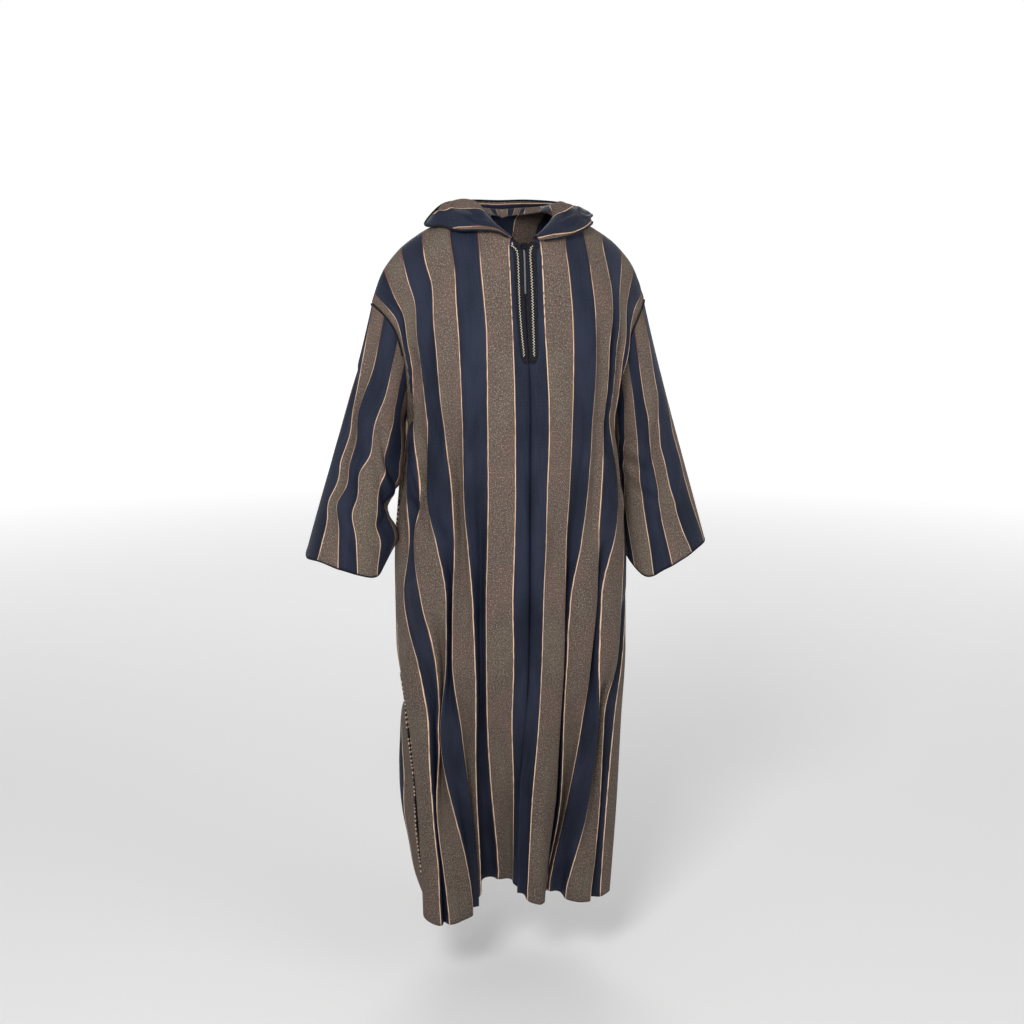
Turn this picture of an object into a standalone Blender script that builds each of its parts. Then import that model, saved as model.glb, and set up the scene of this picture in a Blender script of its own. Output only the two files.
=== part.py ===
"""Djellaba robe in its worn form: a T-cut hooded robe with dropped shoulders, hollow and open.

Metres, +Z up, the wearer faces -Y. The origin lies between the shoulders, 1.47 m above the ground.
"right" and "left" are the wearer's; the right side lies at -X. The tables give heights above the
ground and lengths in millimetres; the cloth is laid out by rows that run across it (its weft) and
by the length of cloth measured along each row from the centre front or the centre back.
"""

import bpy
import numpy as np

for item in list(bpy.data.objects):
    bpy.data.objects.remove(item, do_unlink=True)

MM = 0.001
ORIGIN_HEIGHT = 1470.0
CLOTH = 1.8
SEAM_GAP = 0.3
PIPING = 1.5
ARM_ROWS = 10
# the first row whose folds are eased into the next ones
CHEST = 8
HALF_WIDTH = 370.0
DENSE = 161

# ---------------------------------------------------------------- body rows above the underarm
# share down the armhole, row start (out, y, height), row end on the armhole (out, y, height),
# direction and reach at the start, direction and reach at the end, cloth at the start and the end
ARMHOLE = (
    (0.0, (264, 10, 1320)),
    (0.2, (246, -24, 1300)),
    (0.4, (226, -38, 1266)),
    (0.6, (213, -34, 1215)),
    (0.8, (205, -12, 1152)),
    (1.0, (200, 24, 1098)),
)
ARMHOLE_BACK = (
    (0.0, (264, 10, 1320)),
    (0.2, (252, 52, 1305)),
    (0.4, (236, 80, 1270)),
    (0.6, (220, 84, 1215)),
    (0.8, (207, 62, 1152)),
    (1.0, (200, 24, 1098)),
)
FRONT_TOP = (
    # share, start, reach at the start, reach at the end, cloth at the start, cloth at the end
    (0.0, (68, 0, 1490), (250, 0, -50), (30, 0, -340), 74, 340),
    (0.2, (50, -55, 1472), (240, -60, -30), (60, 20, -260), 48, 340),
    (0.4, (0, -118, 1428), (300, -30, -20), (30, 80, -160), 0, 338),
    (0.6, (0, -130, 1330), (370, -10, -10), (-60, 170, -80), 0, 345),
    (0.8, (0, -140, 1215), (430, 0, 0), (-30, 230, -30), 0, 356),
    (1.0, (0, -146, 1100), (440, 0, 0), (-15, 270, 0), 0, 370),
)
BACK_TOP = (
    (0.0, (68, 0, 1490), (250, 0, -50), (30, 0, -340), 74, 340),
    (0.1, (48, 50, 1482), (250, 50, -40), (45, -10, -300), 48, 340),
    (0.2, (0, 74, 1476), (330, 40, -30), (60, -20, -270), 0, 340),
    (0.4, (0, 98, 1420), (370, 20, -20), (20, -100, -170), 0, 342),
    (0.6, (0, 118, 1330), (390, 0, -10), (-60, -150, -80), 0, 348),
    (0.8, (0, 130, 1215), (410, 0, 0), (0, -190, -30), 0, 358),
    (1.0, (0, 136, 1100), (420, 0, 0), (20, -230, 0), 0, 370),
)
# ---------------------------------------------------------------- body rows below the underarm
# height, half width, depth at the centre, side edge y, inward turn at the side edge, centre x
FRONT_LOW = {
    -1: (
        (1100, 200, 146, 24, -15, 0),
        (970, 213, 147, 22, -20, 0),
        (820, 226, 147, 18, 0, 0),
        (660, 224, 146, 12, 0, -2),
        (505, 216, 141, -14, 0, -6),
        (345, 202, 134, -46, 0, -10),
        (150, 180, 126, -82, 0, -12),
    ),
    1: (
        (1100, 200, 146, 24, -15, 0),
        (970, 210, 147, 22, -20, 0),
        (820, 222, 147, 18, 0, 0),
        (660, 222, 146, 8, 0, -2),
        (505, 214, 141, -12, 0, -6),
        (345, 204, 134, -32, 0, -10),
        (150, 189, 126, -46, 0, -12),
    ),
}
BACK_LOW = (
    (1100, 200, 136, 24, 20, 0),
    (970, 211, 138, 22, -20, 0),
    (820, 224, 140, 18, 0, 0),
    (660, 224, 140, 12, 0, 0),
    (505, 206, 138, -12, 60, 0),
    (345, 194, 134, -34, 90, 0),
    (150, 178, 130, -52, 110, 0),
)
LOW_HEIGHTS = (1045, 990, 935, 880, 825, 770, 715, 660, 600, 540, 480, 420, 360, 300, 240, 195)
VENT_HEIGHT = 610
POCKET_ROWS = (935, 880)
POCKET_GAPE = 7.0
# ---------------------------------------------------------------- stripes and the folds they make
# A row for each stripe edge: its cloth length from the centre seam, then how far out along the row
# it hangs at each level. Cloth left over between two edges folds inwards.
LEVEL_SHARES = (0.0, 0.2, 0.4, 0.7, 1.0)
LEVEL_HEIGHTS = (970, 880, 780, 660, 530, 360, 170)
STRIPE_EDGES = {
    -1: (
        (26, -48, -22, 34, 30, 29, 29, 31, 34, 30, 28, 19, 20),
        (76, 2, 32, 92, 81, 81, 81, 83, 86, 84, 76, 64, 51),
        (124, 52, 85, 142, 131, 125, 124, 117, 109, 103, 96, 94, 88),
        (174, 106, 145, 195, 178, 164, 145, 145, 149, 148, 125, 107, 99),
        (222, 157, 190, 238, 217, 192, 191, 177, 158, 156, 158, 146, 128),
        (272, 210, 236, 272, 247, 252, 229, 236, 213, 181, 170, 180, 180),
        (320, 260, 262, 290, 272, 290, 268, 250, 270, 218, 179, 190, 208),
    ),
    1: (
        (26, -48, -22, 26, 29, 34, 30, 29, 24, 23, 21, 13, 9),
        (76, 4, 32, 77, 85, 82, 76, 71, 70, 73, 74, 68, 54),
        (124, 58, 74, 133, 135, 128, 117, 103, 83, 79, 83, 82, 66),
        (174, 108, 124, 198, 173, 171, 155, 146, 146, 135, 121, 101, 77),
        (222, 160, 180, 226, 196, 196, 215, 191, 156, 149, 154, 143, 109),
        (272, 208, 218, 257, 228, 240, 255, 245, 225, 217, 170, 180, 173),
        (320, 258, 256, 284, 260, 285, 284, 285, 275, 245, 207, 196, 194),
    ),
}
BACK_EDGES = (24, 74, 124, 174, 222, 272, 320)
# ---------------------------------------------------------------- broad folds
# side (0 the back), name, distance out at the top and at the hem, half width, height where it
# starts, depth at the hem (out is positive)
BROAD_FOLDS = (
    (-1, "hollow between the shins", 60, 52, 42, 640, -58),
    (-1, "pleat over the shin", 200, 158, 46, 900, 34),
    (1, "fold beside the centre", 60, 40, 34, 700, 10),
    (1, "hollow under the knee", 90, 66, 24, 820, -30),
    (1, "pleat at the side", 200, 140, 40, 900, 12),
    (0, "back fold, right", -150, -130, 46, 1180, 16),
    (0, "back hollow, right", -72, -66, 34, 1120, -20),
    (0, "back fold, middle", 4, 8, 34, 1250, 14),
    (0, "back hollow, left", 78, 74, 36, 1150, -20),
    (0, "back fold, left", 156, 140, 46, 1180, 16),
)
# cloth from the centre seam, hem height, for the right front, the left front and the back
HEM = {
    -1: ((0, 189), (26, 199), (76, 197), (104, 188), (150, 166), (200, 154), (272, 147), (370, 140)),
    1: ((0, 189), (26, 174), (50, 162), (76, 160), (124, 167), (174, 168), (250, 154), (370, 148)),
    0: ((0, 150), (120, 154), (250, 150), (370, 150)),
}
COLUMNS = (0, 13, 26, 43, 59, 76, 92, 108, 124, 141, 157, 174, 190, 206, 222, 239, 255, 272,
           288, 304, 320, 337, 354, 370)
# the back takes fewer lines of points than the fronts
BACK_PICK = (0, 2, 4, 6, 8, 10, 12, 14, 16, 18, 20, 22, 23)
NARROWEST = 6.0
# cloth that a strip takes up by slanting before it folds
SLACK = 7.0


def spread(at, stations, index):
    """A column of a table of stations, read between its rows along a soft line."""
    order = np.argsort([row[0] for row in stations])
    places = np.array([row[0] for row in stations], float)[order]
    values = np.array([row[index] for row in stations], float).reshape(len(stations), -1)[order]
    rate = np.diff(values, axis=0) / np.diff(places)[:, None]
    both = rate[:-1] * rate[1:]
    inner = np.where(both > 0, 2 * both / (rate[:-1] + rate[1:] + (both <= 0)), 0)
    slope = np.concatenate([rate[:1], inner, rate[-1:]])
    at = min(max(at, places[0]), places[-1])
    i = min(int(np.searchsorted(places, at, side="right")) - 1, len(places) - 2)
    width = places[i + 1] - places[i]
    t = (at - places[i]) / width
    found = (
        (2 * t**3 - 3 * t**2 + 1) * values[i]
        + (t**3 - 2 * t**2 + t) * width * slope[i]
        + (3 * t**2 - 2 * t**3) * values[i + 1]
        + (t**3 - t**2) * width * slope[i + 1]
    )
    return found if len(found) > 1 else float(found[0])


def curved(start, end, leaving, arriving, count=DENSE):
    """A cubic line between two points, leaving and arriving with the given reach."""
    t = np.linspace(0, 1, count)[:, None]
    return (
        (2 * t**3 - 3 * t**2 + 1) * start
        + (t**3 - 2 * t**2 + t) * leaving
        + (3 * t**2 - 2 * t**3) * end
        + (t**3 - t**2) * arriving
    )


def along(line):
    steps = np.linalg.norm(np.diff(line, axis=0), axis=1)
    return np.concatenate([[0.0], np.cumsum(steps)])


def level_of(share, height):
    """Where a row stands between the named levels of the stripe table."""
    if share <= 1.0:
        return float(np.interp(share, LEVEL_SHARES, range(len(LEVEL_SHARES))))
    heights = (1100,) + LEVEL_HEIGHTS
    steps = range(len(LEVEL_SHARES) - 1, len(LEVEL_SHARES) + len(LEVEL_HEIGHTS))
    return float(np.interp(-height, [-h for h in heights], steps))


def hung_row(side, back, share, height):
    """The smooth line that one row of cloth hangs along, from the centre out to the side."""
    if share <= 1.0:
        table = BACK_TOP if back else FRONT_TOP
        start = spread(share, table, 1)
        end = spread(share, ARMHOLE_BACK if back else ARMHOLE, 1)
        line = curved(start, end, spread(share, table, 2), spread(share, table, 3))
        first, last = spread(share, table, 4), spread(share, table, 5)
    else:
        table = BACK_LOW if back else FRONT_LOW[side]
        half, depth, edge, turn, centre = [spread(height, table, i) for i in (1, 2, 3, 4, 5)]
        facing = 1 if back else -1
        start = np.array((centre * side, facing * depth, height))
        end = np.array((half, edge, height))
        reach = 1.6 * (depth + facing * -edge)
        line = curved(start, end, np.array((1.75 * half + 60, 0, 0)), np.array((turn, -facing * reach, 0)))
        first, last = 0.0, HALF_WIDTH
    place = along(line)
    turned = np.gradient(line, axis=0)
    out = np.stack([turned[:, 1], -turned[:, 0], 0 * turned[:, 0]], -1) * (-1 if back else 1)
    out /= np.linalg.norm(out, axis=1)[:, None] + 1e-9
    for owner, _, upper, lower, width, starts, depth in BROAD_FOLDS:
        if owner != (0 if back else side) or height > starts:
            continue
        grown = (starts - height) / (starts - 150)
        grown = grown * grown * (3 - 2 * grown) * 0.5 + grown * 0.5
        centre = upper + (lower - upper) * grown
        here = place if not back else place * side
        line = line + out * (depth * grown * np.exp(-(((here - centre) / width) ** 2)))[:, None]
    return line, first, last


def fold_places(side, back, share, height, first, last, length):
    """Knots of cloth length against distance out, and how deep each strip between them folds."""
    level = level_of(share, height)
    if back:
        cloth = np.array((first,) + tuple(c for c in BACK_EDGES if first + 8 < c < last - 8) + (last,))
        places = (cloth - first) / (last - first) * length
    else:
        rows = [
            (row[0], float(np.interp(level, range(len(row) - 1), row[1:])))
            for row in STRIPE_EDGES[side]
        ]
        rows = [(c, p) for c, p in rows if c > first + 8 and c < last - 8 and 0 < p < length - NARROWEST]
        cloth = np.array([first] + [c for c, _ in rows] + [last])
        places = np.array([0.0] + [p for _, p in rows] + [length])
    for i in range(1, len(places)):
        places[i] = max(places[i], places[i - 1] + NARROWEST)
    places *= length / places[-1]
    return cloth, places


def cloth_point(side, back, share, height, cloth_at):
    """Points of one row at the given lengths of cloth from its centre."""
    line, first, last = hung_row(side, back, share, height)
    place = along(line)
    cloth, places = fold_places(side, back, share, height, first, last, place[-1])
    wanted = first + (last - first) * np.asarray(cloth_at) / HALF_WIDTH
    strip = np.clip(np.searchsorted(cloth, wanted, side="right") - 1, 0, len(cloth) - 2)
    width = cloth[strip + 1] - cloth[strip]
    chord = places[strip + 1] - places[strip]
    t = (wanted - cloth[strip]) / width
    sink = 0.42 * np.sqrt(np.maximum(width**2 - (chord + SLACK) ** 2, 0))
    sink = np.where(back, 0, sink) * (1 - np.abs(2 * t - 1) ** 2.2) * np.clip(share * 3 - 1, 0, 1)
    floor = np.maximum(chord, 9.0)
    pull = np.clip(1 - np.abs(2 * t - 1), 0, 1)
    middle = (places[strip + 1] + places[strip]) / 2
    plain = places[strip] + chord * t
    spread_out = middle + (t - 0.5) * floor
    at = plain + (spread_out - plain) * np.clip(pull * 2, 0, 1)
    at = np.clip(at, 0, place[-1])
    points = np.stack([np.interp(at, place, line[:, i]) for i in range(3)], -1)
    turned = np.stack([np.interp(at, place, np.gradient(line, axis=0)[:, i]) for i in range(3)], -1)
    out = np.stack([turned[:, 1], -turned[:, 0], 0 * turned[:, 0]], -1) * (-1 if back else 1)
    size = np.linalg.norm(out, axis=1)[:, None]
    out = out / np.maximum(size, 1e-6)
    flat = np.linalg.norm(turned[:, :2], axis=1) / (np.linalg.norm(turned, axis=1) + 1e-9)
    points = points - out * (sink * np.clip(flat * 1.5 - 0.3, 0, 1))[:, None]
    return points


def body_half(side, back, columns=COLUMNS):
    """Middle surface of one half of the front or of the back, row by row from the shoulder line."""
    rows = []
    for step in range(ARM_ROWS + 1):
        share = step / ARM_ROWS
        rows.append(cloth_point(side, back, share, 1500.0, columns))
    hem = HEM[0 if back else side]
    hem_height = np.interp(columns, [h[0] for h in hem], [h[1] for h in hem])
    for height in LOW_HEIGHTS + (150,):
        rows.append(cloth_point(side, back, 2.0, float(height), columns))
    grid = np.array(rows)
    low = grid[ARM_ROWS + 1 :]
    gone = np.clip((700 - low[:, :, 2]) / 550, 0, 1)
    low[:, :, 2] += gone * (hem_height - 150)[None, :]
    grid[:, :, 0] *= side
    return settled(grid)


def settled(grid):
    """The grid with its steps from row to row and from line to line eased below the chest."""
    eased = grid.copy()
    for _ in range(2):
        down = (eased[:-2] + 2 * eased[1:-1] + eased[2:]) / 4
        eased[CHEST:-1, 1:-1, :2] = down[CHEST - 1 :, 1:-1, :2]
    over = (eased[:, :-2] + 4 * eased[:, 1:-1] + eased[:, 2:]) / 6
    eased[CHEST:, 1:-1, :2] = over[CHEST:, :, :2]
    return eased


def joined(first, second):
    """Unit vectors halfway between two sets of directions."""
    mixed = unit(first) + unit(second)
    return unit(mixed)


def unit(vectors):
    return vectors / (np.linalg.norm(vectors, axis=-1, keepdims=True) + 1e-12)


def normals_of(points, faces):
    """Directions square to the cloth at each point, from the faces round it."""
    corner = points[faces]
    square = np.cross(corner[:, 2] - corner[:, 0], corner[:, 3] - corner[:, 1])
    total = np.zeros_like(points)
    for i in range(4):
        np.add.at(total, faces[:, i], square)
    return unit(total)


def grid_faces(rows, columns, closed=False):
    """Quads of a grid of rows by columns, running the way that makes the cloth's outer side face out."""
    wide = columns if closed else columns - 1
    r, c = np.meshgrid(np.arange(rows - 1), np.arange(wide), indexing="ij")
    a = r * columns + c
    b = r * columns + (c + 1) % columns
    faces = np.stack([a, a + columns, b + columns, b], -1)
    return faces.reshape(-1, 4)


def solid(name, points, faces, colour, roughness=0.85):
    """A closed mesh in metres from points in millimetres above the ground."""
    mesh = bpy.data.meshes.new(name)
    placed = (np.asarray(points) - np.array((0, 0, ORIGIN_HEIGHT))) * MM
    mesh.from_pydata(placed.tolist(), [], [list(map(int, face)) for face in faces])
    mesh.update()
    thing = bpy.data.objects.new(name, mesh)
    bpy.context.scene.collection.objects.link(thing)
    material = bpy.data.materials.new(name)
    material.use_nodes = True
    shader = material.node_tree.nodes["Principled BSDF"]
    shader.inputs["Base Color"].default_value = (*colour, 1)
    shader.inputs["Roughness"].default_value = roughness
    shader.inputs["Metallic"].default_value = 0.0
    mesh.materials.append(material)
    return thing


def thickened(name, points, faces, normals, colour, thickness=CLOTH):
    """A sheet of cloth: an outer and an inner surface, closed along every free edge."""
    used, index = np.unique(faces, return_inverse=True)
    faces = index.reshape(faces.shape)
    points = points[used]
    normals = normals[used]
    outer = points + normals * thickness / 2
    inner = points - normals * thickness / 2
    count = len(points)
    everything = [list(face) for face in faces]
    everything += [[i + count for i in face[::-1]] for face in faces]
    seen = {}
    for face in faces:
        for i in range(4):
            seen[(int(face[i]), int(face[(i + 1) % 4]))] = True
    for a, b in seen:
        if (b, a) not in seen:
            everything.append([b, a, a + count, b + count])
    return solid(name, np.concatenate([outer, inner]), everything, colour)


def tube(name, line, radius, colour, sides=5, closed=False):
    """A round cord along a line, capped unless it closes on itself."""
    line = np.asarray(line, float)
    ahead = np.roll(line, -1, 0) - np.roll(line, 1, 0)
    if not closed:
        ahead[0] = line[1] - line[0]
        ahead[-1] = line[-1] - line[-2]
    ahead = unit(ahead)
    across = np.zeros_like(line)
    last = np.array((0.31, 0.17, 0.93)) if abs(ahead[0, 2]) < 0.8 else np.array((0.9, 0.3, 0.1))
    for i, way in enumerate(ahead):
        last = unit(last - way * (last @ way))
        across[i] = last
    up = np.cross(ahead, across)
    turn = 2 * np.pi * np.arange(sides) / sides
    ring = np.cos(turn)[None, :, None] * across[:, None] + np.sin(turn)[None, :, None] * up[:, None]
    if closed:
        twist = np.arctan2(across[-1] @ up[0], across[-1] @ across[0])
        for i in range(len(line)):
            angle = turn - twist * i / len(line)
            ring[i] = np.cos(angle)[:, None] * across[i] + np.sin(angle)[:, None] * up[i]
    points = (line[:, None] + radius * ring).reshape(-1, 3)
    count = len(line)
    faces = []
    for i in range(count if closed else count - 1):
        j = (i + 1) % count
        for k in range(sides):
            m = (k + 1) % sides
            faces.append([i * sides + k, i * sides + m, j * sides + m, j * sides + k])
    if not closed:
        faces.append([k for k in range(sides)][::-1])
        faces.append([(count - 1) * sides + k for k in range(sides)])
    return solid(name, points, faces, colour, 0.7)


def smoothly(points, parts):
    """Points of a soft line through the given ones, with the given number of parts between each two."""
    points = np.asarray(points, float)
    before = np.concatenate([2 * points[:1] - points[1:2], points[:-1]])
    after = np.concatenate([points[1:], 2 * points[-1:] - points[-2:-1]])
    slope = (after - before) / 2
    made = []
    for i in range(len(points) - 1):
        for t in np.arange(parts) / parts:
            made.append(
                (2 * t**3 - 3 * t**2 + 1) * points[i]
                + (t**3 - 2 * t**2 + t) * slope[i]
                + (3 * t**2 - 2 * t**3) * points[i + 1]
                + (t**3 - t**2) * slope[i + 1]
            )
    made.append(points[-1])
    return np.array(made)


# ---------------------------------------------------------------- colours (linear)
TAUPE = (0.14, 0.11, 0.09)
NAVY = (0.045, 0.052, 0.085)
BLACK = (0.012, 0.012, 0.014)
SILVER = (0.35, 0.34, 0.32)
# ---------------------------------------------------------------- sleeves
# centre (out, y, height) of the cuff, its reach outwards, and its reach forwards
CUFF_CENTRE = (312, 10, 853)
CUFF_OUT = (84, 0, -4)
CUFF_FORWARD = (0, -64, -33)
SLEEVE_ROWS = 11
# side, name, turn round the sleeve (degrees, 0 outwards, 90 in front), place down the sleeve,
# half width (degrees, share of the length), slant (degrees over the length), depth
SLEEVE_FOLDS = (
    (-1, "elbow crease, upper", 120, 0.46, 46, 0.09, 60, -9),
    (-1, "elbow crease, lower", 70, 0.66, 40, 0.08, -40, -8),
    (-1, "outer hollow", 40, 0.35, 26, 0.30, 10, -6),
    (-1, "front fold", 88, 0.80, 22, 0.25, 0, 6),
    (-1, "back fold", 250, 0.60, 34, 0.40, 0, 8),
    (1, "long fold in front", 96, 0.62, 22, 0.40, 8, -9),
    (1, "long fold outside", 48, 0.55, 24, 0.40, -6, -6),
    (1, "elbow crease", 140, 0.50, 40, 0.08, 40, -7),
    (1, "back fold", 250, 0.60, 34, 0.40, 0, 8),
)
# ---------------------------------------------------------------- hood
# A row for each section from the V round to the back: the body row it is sewn to (share, back or
# not), then four points out to the face edge, each (out, y, height).
HOOD_FRONT = {
    -1: (
        (0.36, 0, (5, -105, 1445), (7, -105, 1447), (10, -107, 1449), (13, -111, 1450), (16, -115, 1449)),
        (0.30, 0, (20, -86, 1462), (23, -83, 1468), (32, -84, 1472), (42, -89, 1470), (50, -95, 1464)),
        (0.20, 0, (44, -51, 1480), (48, -49, 1488), (60, -55, 1489), (79, -67, 1477), (97, -82, 1461)),
        (0.10, 0, (55, -25, 1492), (59, -23, 1501), (76, -26, 1503), (106, -39, 1488), (134, -52, 1467)),
        (0.00, 0, (63, 2, 1499), (69, 3, 1507), (92, 4, 1507), (126, 0, 1493), (163, -6, 1467)),
        (0.04, 1, (62, 17, 1497), (72, 22, 1502), (102, 32, 1496), (132, 28, 1493), (151, 22, 1482)),
        (0.065, 1, (58, 30, 1496), (70, 40, 1498), (106, 78, 1474), (140, 64, 1478), (137, 42, 1492)),
    ),
    1: (
        (0.36, 0, (5, -105, 1445), (7, -105, 1447), (10, -107, 1449), (13, -111, 1450), (16, -115, 1449)),
        (0.30, 0, (20, -86, 1462), (22, -84, 1466), (29, -87, 1468), (36, -94, 1465), (43, -101, 1458)),
        (0.20, 0, (44, -51, 1480), (48, -49, 1487), (58, -57, 1486), (75, -74, 1474), (92, -90, 1457)),
        (0.10, 0, (55, -25, 1492), (60, -23, 1500), (76, -28, 1501), (104, -44, 1488), (132, -58, 1467)),
        (0.00, 0, (63, 2, 1499), (70, 4, 1505), (92, 2, 1505), (128, -8, 1499), (154, -20, 1479)),
        (0.04, 1, (62, 17, 1497), (72, 22, 1502), (100, 30, 1497), (128, 22, 1497), (145, 14, 1487)),
        (0.065, 1, (58, 30, 1496), (70, 40, 1498), (106, 78, 1474), (138, 62, 1479), (134, 38, 1494)),
    ),
}
HOOD_BACK = (
    (0.09, 1, (52, 44, 1494), (63, 60, 1492), (106, 116, 1446), (134, 84, 1474), (118, 60, 1499)),
    (0.15, 1, (32, 66, 1489), (40, 88, 1482), (64, 146, 1338), (78, 160, 1414), (60, 98, 1505)),
    (0.20, 1, (0, 80, 1486), (0, 99, 1474), (0, 166, 1266), (0, 182, 1376), (0, 112, 1504)),
)


def seam_frame(ring, inward, onward, closed):
    """Where two pieces are sewn: the shared way across the seam, and the shared normal."""
    ahead = np.roll(ring, -1, 0) - np.roll(ring, 1, 0)
    if not closed:
        ahead[0] = ring[1] - ring[0]
        ahead[-1] = ring[-1] - ring[-2]
    ahead = unit(ahead)
    across = joined(inward, onward)
    across = unit(across - ahead * (across * ahead).sum(-1, keepdims=True))
    return across, np.cross(ahead, across)


halves = {(side, back): body_half(side, back) for side in (-1, 1) for back in (False, True)}
for side in (-1, 1):
    halves[(side, True)] = halves[(side, True)][:, BACK_PICK]
    shoulder = halves[(side, False)][0]
    halves[(side, True)][0] = shoulder[list(BACK_PICK)]
    for i in range(3):
        shoulder[:, i] = np.interp(range(len(COLUMNS)), BACK_PICK, shoulder[list(BACK_PICK), i])
ROWS = len(halves[(-1, False)])
COUNT = len(COLUMNS)
BACK_COUNT = len(BACK_PICK)
BELOW = ARM_ROWS


def sleeve_middle(side):
    """Middle surface of a sleeve, ring by ring from the armhole to the cuff."""
    front = halves[(side, False)][: ARM_ROWS + 1, -1]
    back = halves[(side, True)][: ARM_ROWS + 1, -1]
    ring = np.concatenate([front, back[-2:0:-1]])
    count = len(ring)
    turn = 2 * np.pi * np.arange(count) / count
    mirror = np.array((side, 1, 1))
    centre = np.array(CUFF_CENTRE) * mirror
    cuff = (
        centre
        + np.cos(turn)[:, None] * np.array(CUFF_OUT) * mirror
        + np.sin(turn)[:, None] * np.array(CUFF_FORWARD) * mirror
    )
    span = cuff - ring
    inner = (1 - np.cos(turn)) / 2
    leaving = span * 0.9 + np.array((side, 0, 0)) * (110 * inner - 20 * (1 - inner))[:, None]
    arriving = span * 1.0 - np.array((side, 0, 0)) * (10 * inner)[:, None]
    rows = []
    degrees = np.degrees(turn)
    middle = (ring.mean(0), cuff.mean(0))
    for place in np.linspace(0, 1, SLEEVE_ROWS):
        t = place
        line = (
            (2 * t**3 - 3 * t**2 + 1) * ring
            + (t**3 - 2 * t**2 + t) * leaving
            + (3 * t**2 - 2 * t**3) * cuff
            + (t**3 - t**2) * arriving
        )
        axis = middle[0] + (middle[1] - middle[0]) * t
        out = unit((line - axis) * np.array((1, 1, 0.2)))
        for owner, _, at, down, wide, tall, slant, depth in SLEEVE_FOLDS:
            if owner != side:
                continue
            off = (degrees - at - slant * (t - down) + 180) % 360 - 180
            shape = np.exp(-((off / wide) ** 2) - ((t - down) / tall) ** 2)
            line = line + out * (depth * shape * min(1, t * 5) * min(1, (1 - t) * 6 + 0.25))[:, None]
        rows.append(line)
    return np.array(rows)


sleeves = {side: sleeve_middle(side) for side in (-1, 1)}
# ---------------------------------------------------------------- edges that are sewn
def flipped(side, back):
    return (side == -1) != back


def quads(rows, columns, flip, closed=False):
    faces = grid_faces(rows, columns, closed)
    return faces[:, ::-1] if flip else faces


points = {key: grid.copy() for key, grid in halves.items()}
for side in (-1, 1):
    for row, height in enumerate(LOW_HEIGHTS, BELOW + 1):
        if height >= VENT_HEIGHT:
            edge = (points[(side, False)][row, -1] + points[(side, True)][row, -1]) / 2
            points[(side, False)][row, -1] = edge
            points[(side, True)][row, -1] = edge
rings = {side: sleeves[side].copy() for side in (-1, 1)}
RING = rings[-1].shape[1]
normals = {}
for (side, back), grid in points.items():
    faces = quads(*grid.shape[:2], flipped(side, back))
    normals[(side, back)] = normals_of(grid.reshape(-1, 3), faces).reshape(grid.shape)
ring_normals = {}
for side, grid in rings.items():
    faces = quads(SLEEVE_ROWS, RING, side == 1, True)
    ring_normals[side] = normals_of(grid.reshape(-1, 3), faces).reshape(grid.shape)
shifts = {key: np.zeros_like(grid) for key, grid in points.items()}
ring_shifts = {side: np.zeros_like(grid) for side, grid in rings.items()}


def sew(place, inner, outer, normal, closed=False):
    """Ways across a seam from the inner piece to the outer one, and the shared normals."""
    across, square = seam_frame(place, place - inner, outer - place, closed)
    square = square * np.sign((square * normal).sum(-1, keepdims=True))
    return across * SEAM_GAP / 2, square


V_ROW = round(0.4 * ARM_ROWS)
NECK_BACK = round(0.2 * ARM_ROWS)
# centre front
a, b = points[(-1, False)], points[(1, False)]
rows = slice(V_ROW, ROWS)
mixed = unit(normals[(-1, False)][rows, 0] + normals[(1, False)][rows, 0])
step, square = sew(a[rows, 0], a[rows, 1], b[rows, 1], mixed)
shifts[(-1, False)][rows, 0] -= step
shifts[(1, False)][rows, 0] += step
normals[(-1, False)][rows, 0] = square
normals[(1, False)][rows, 0] = square
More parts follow.
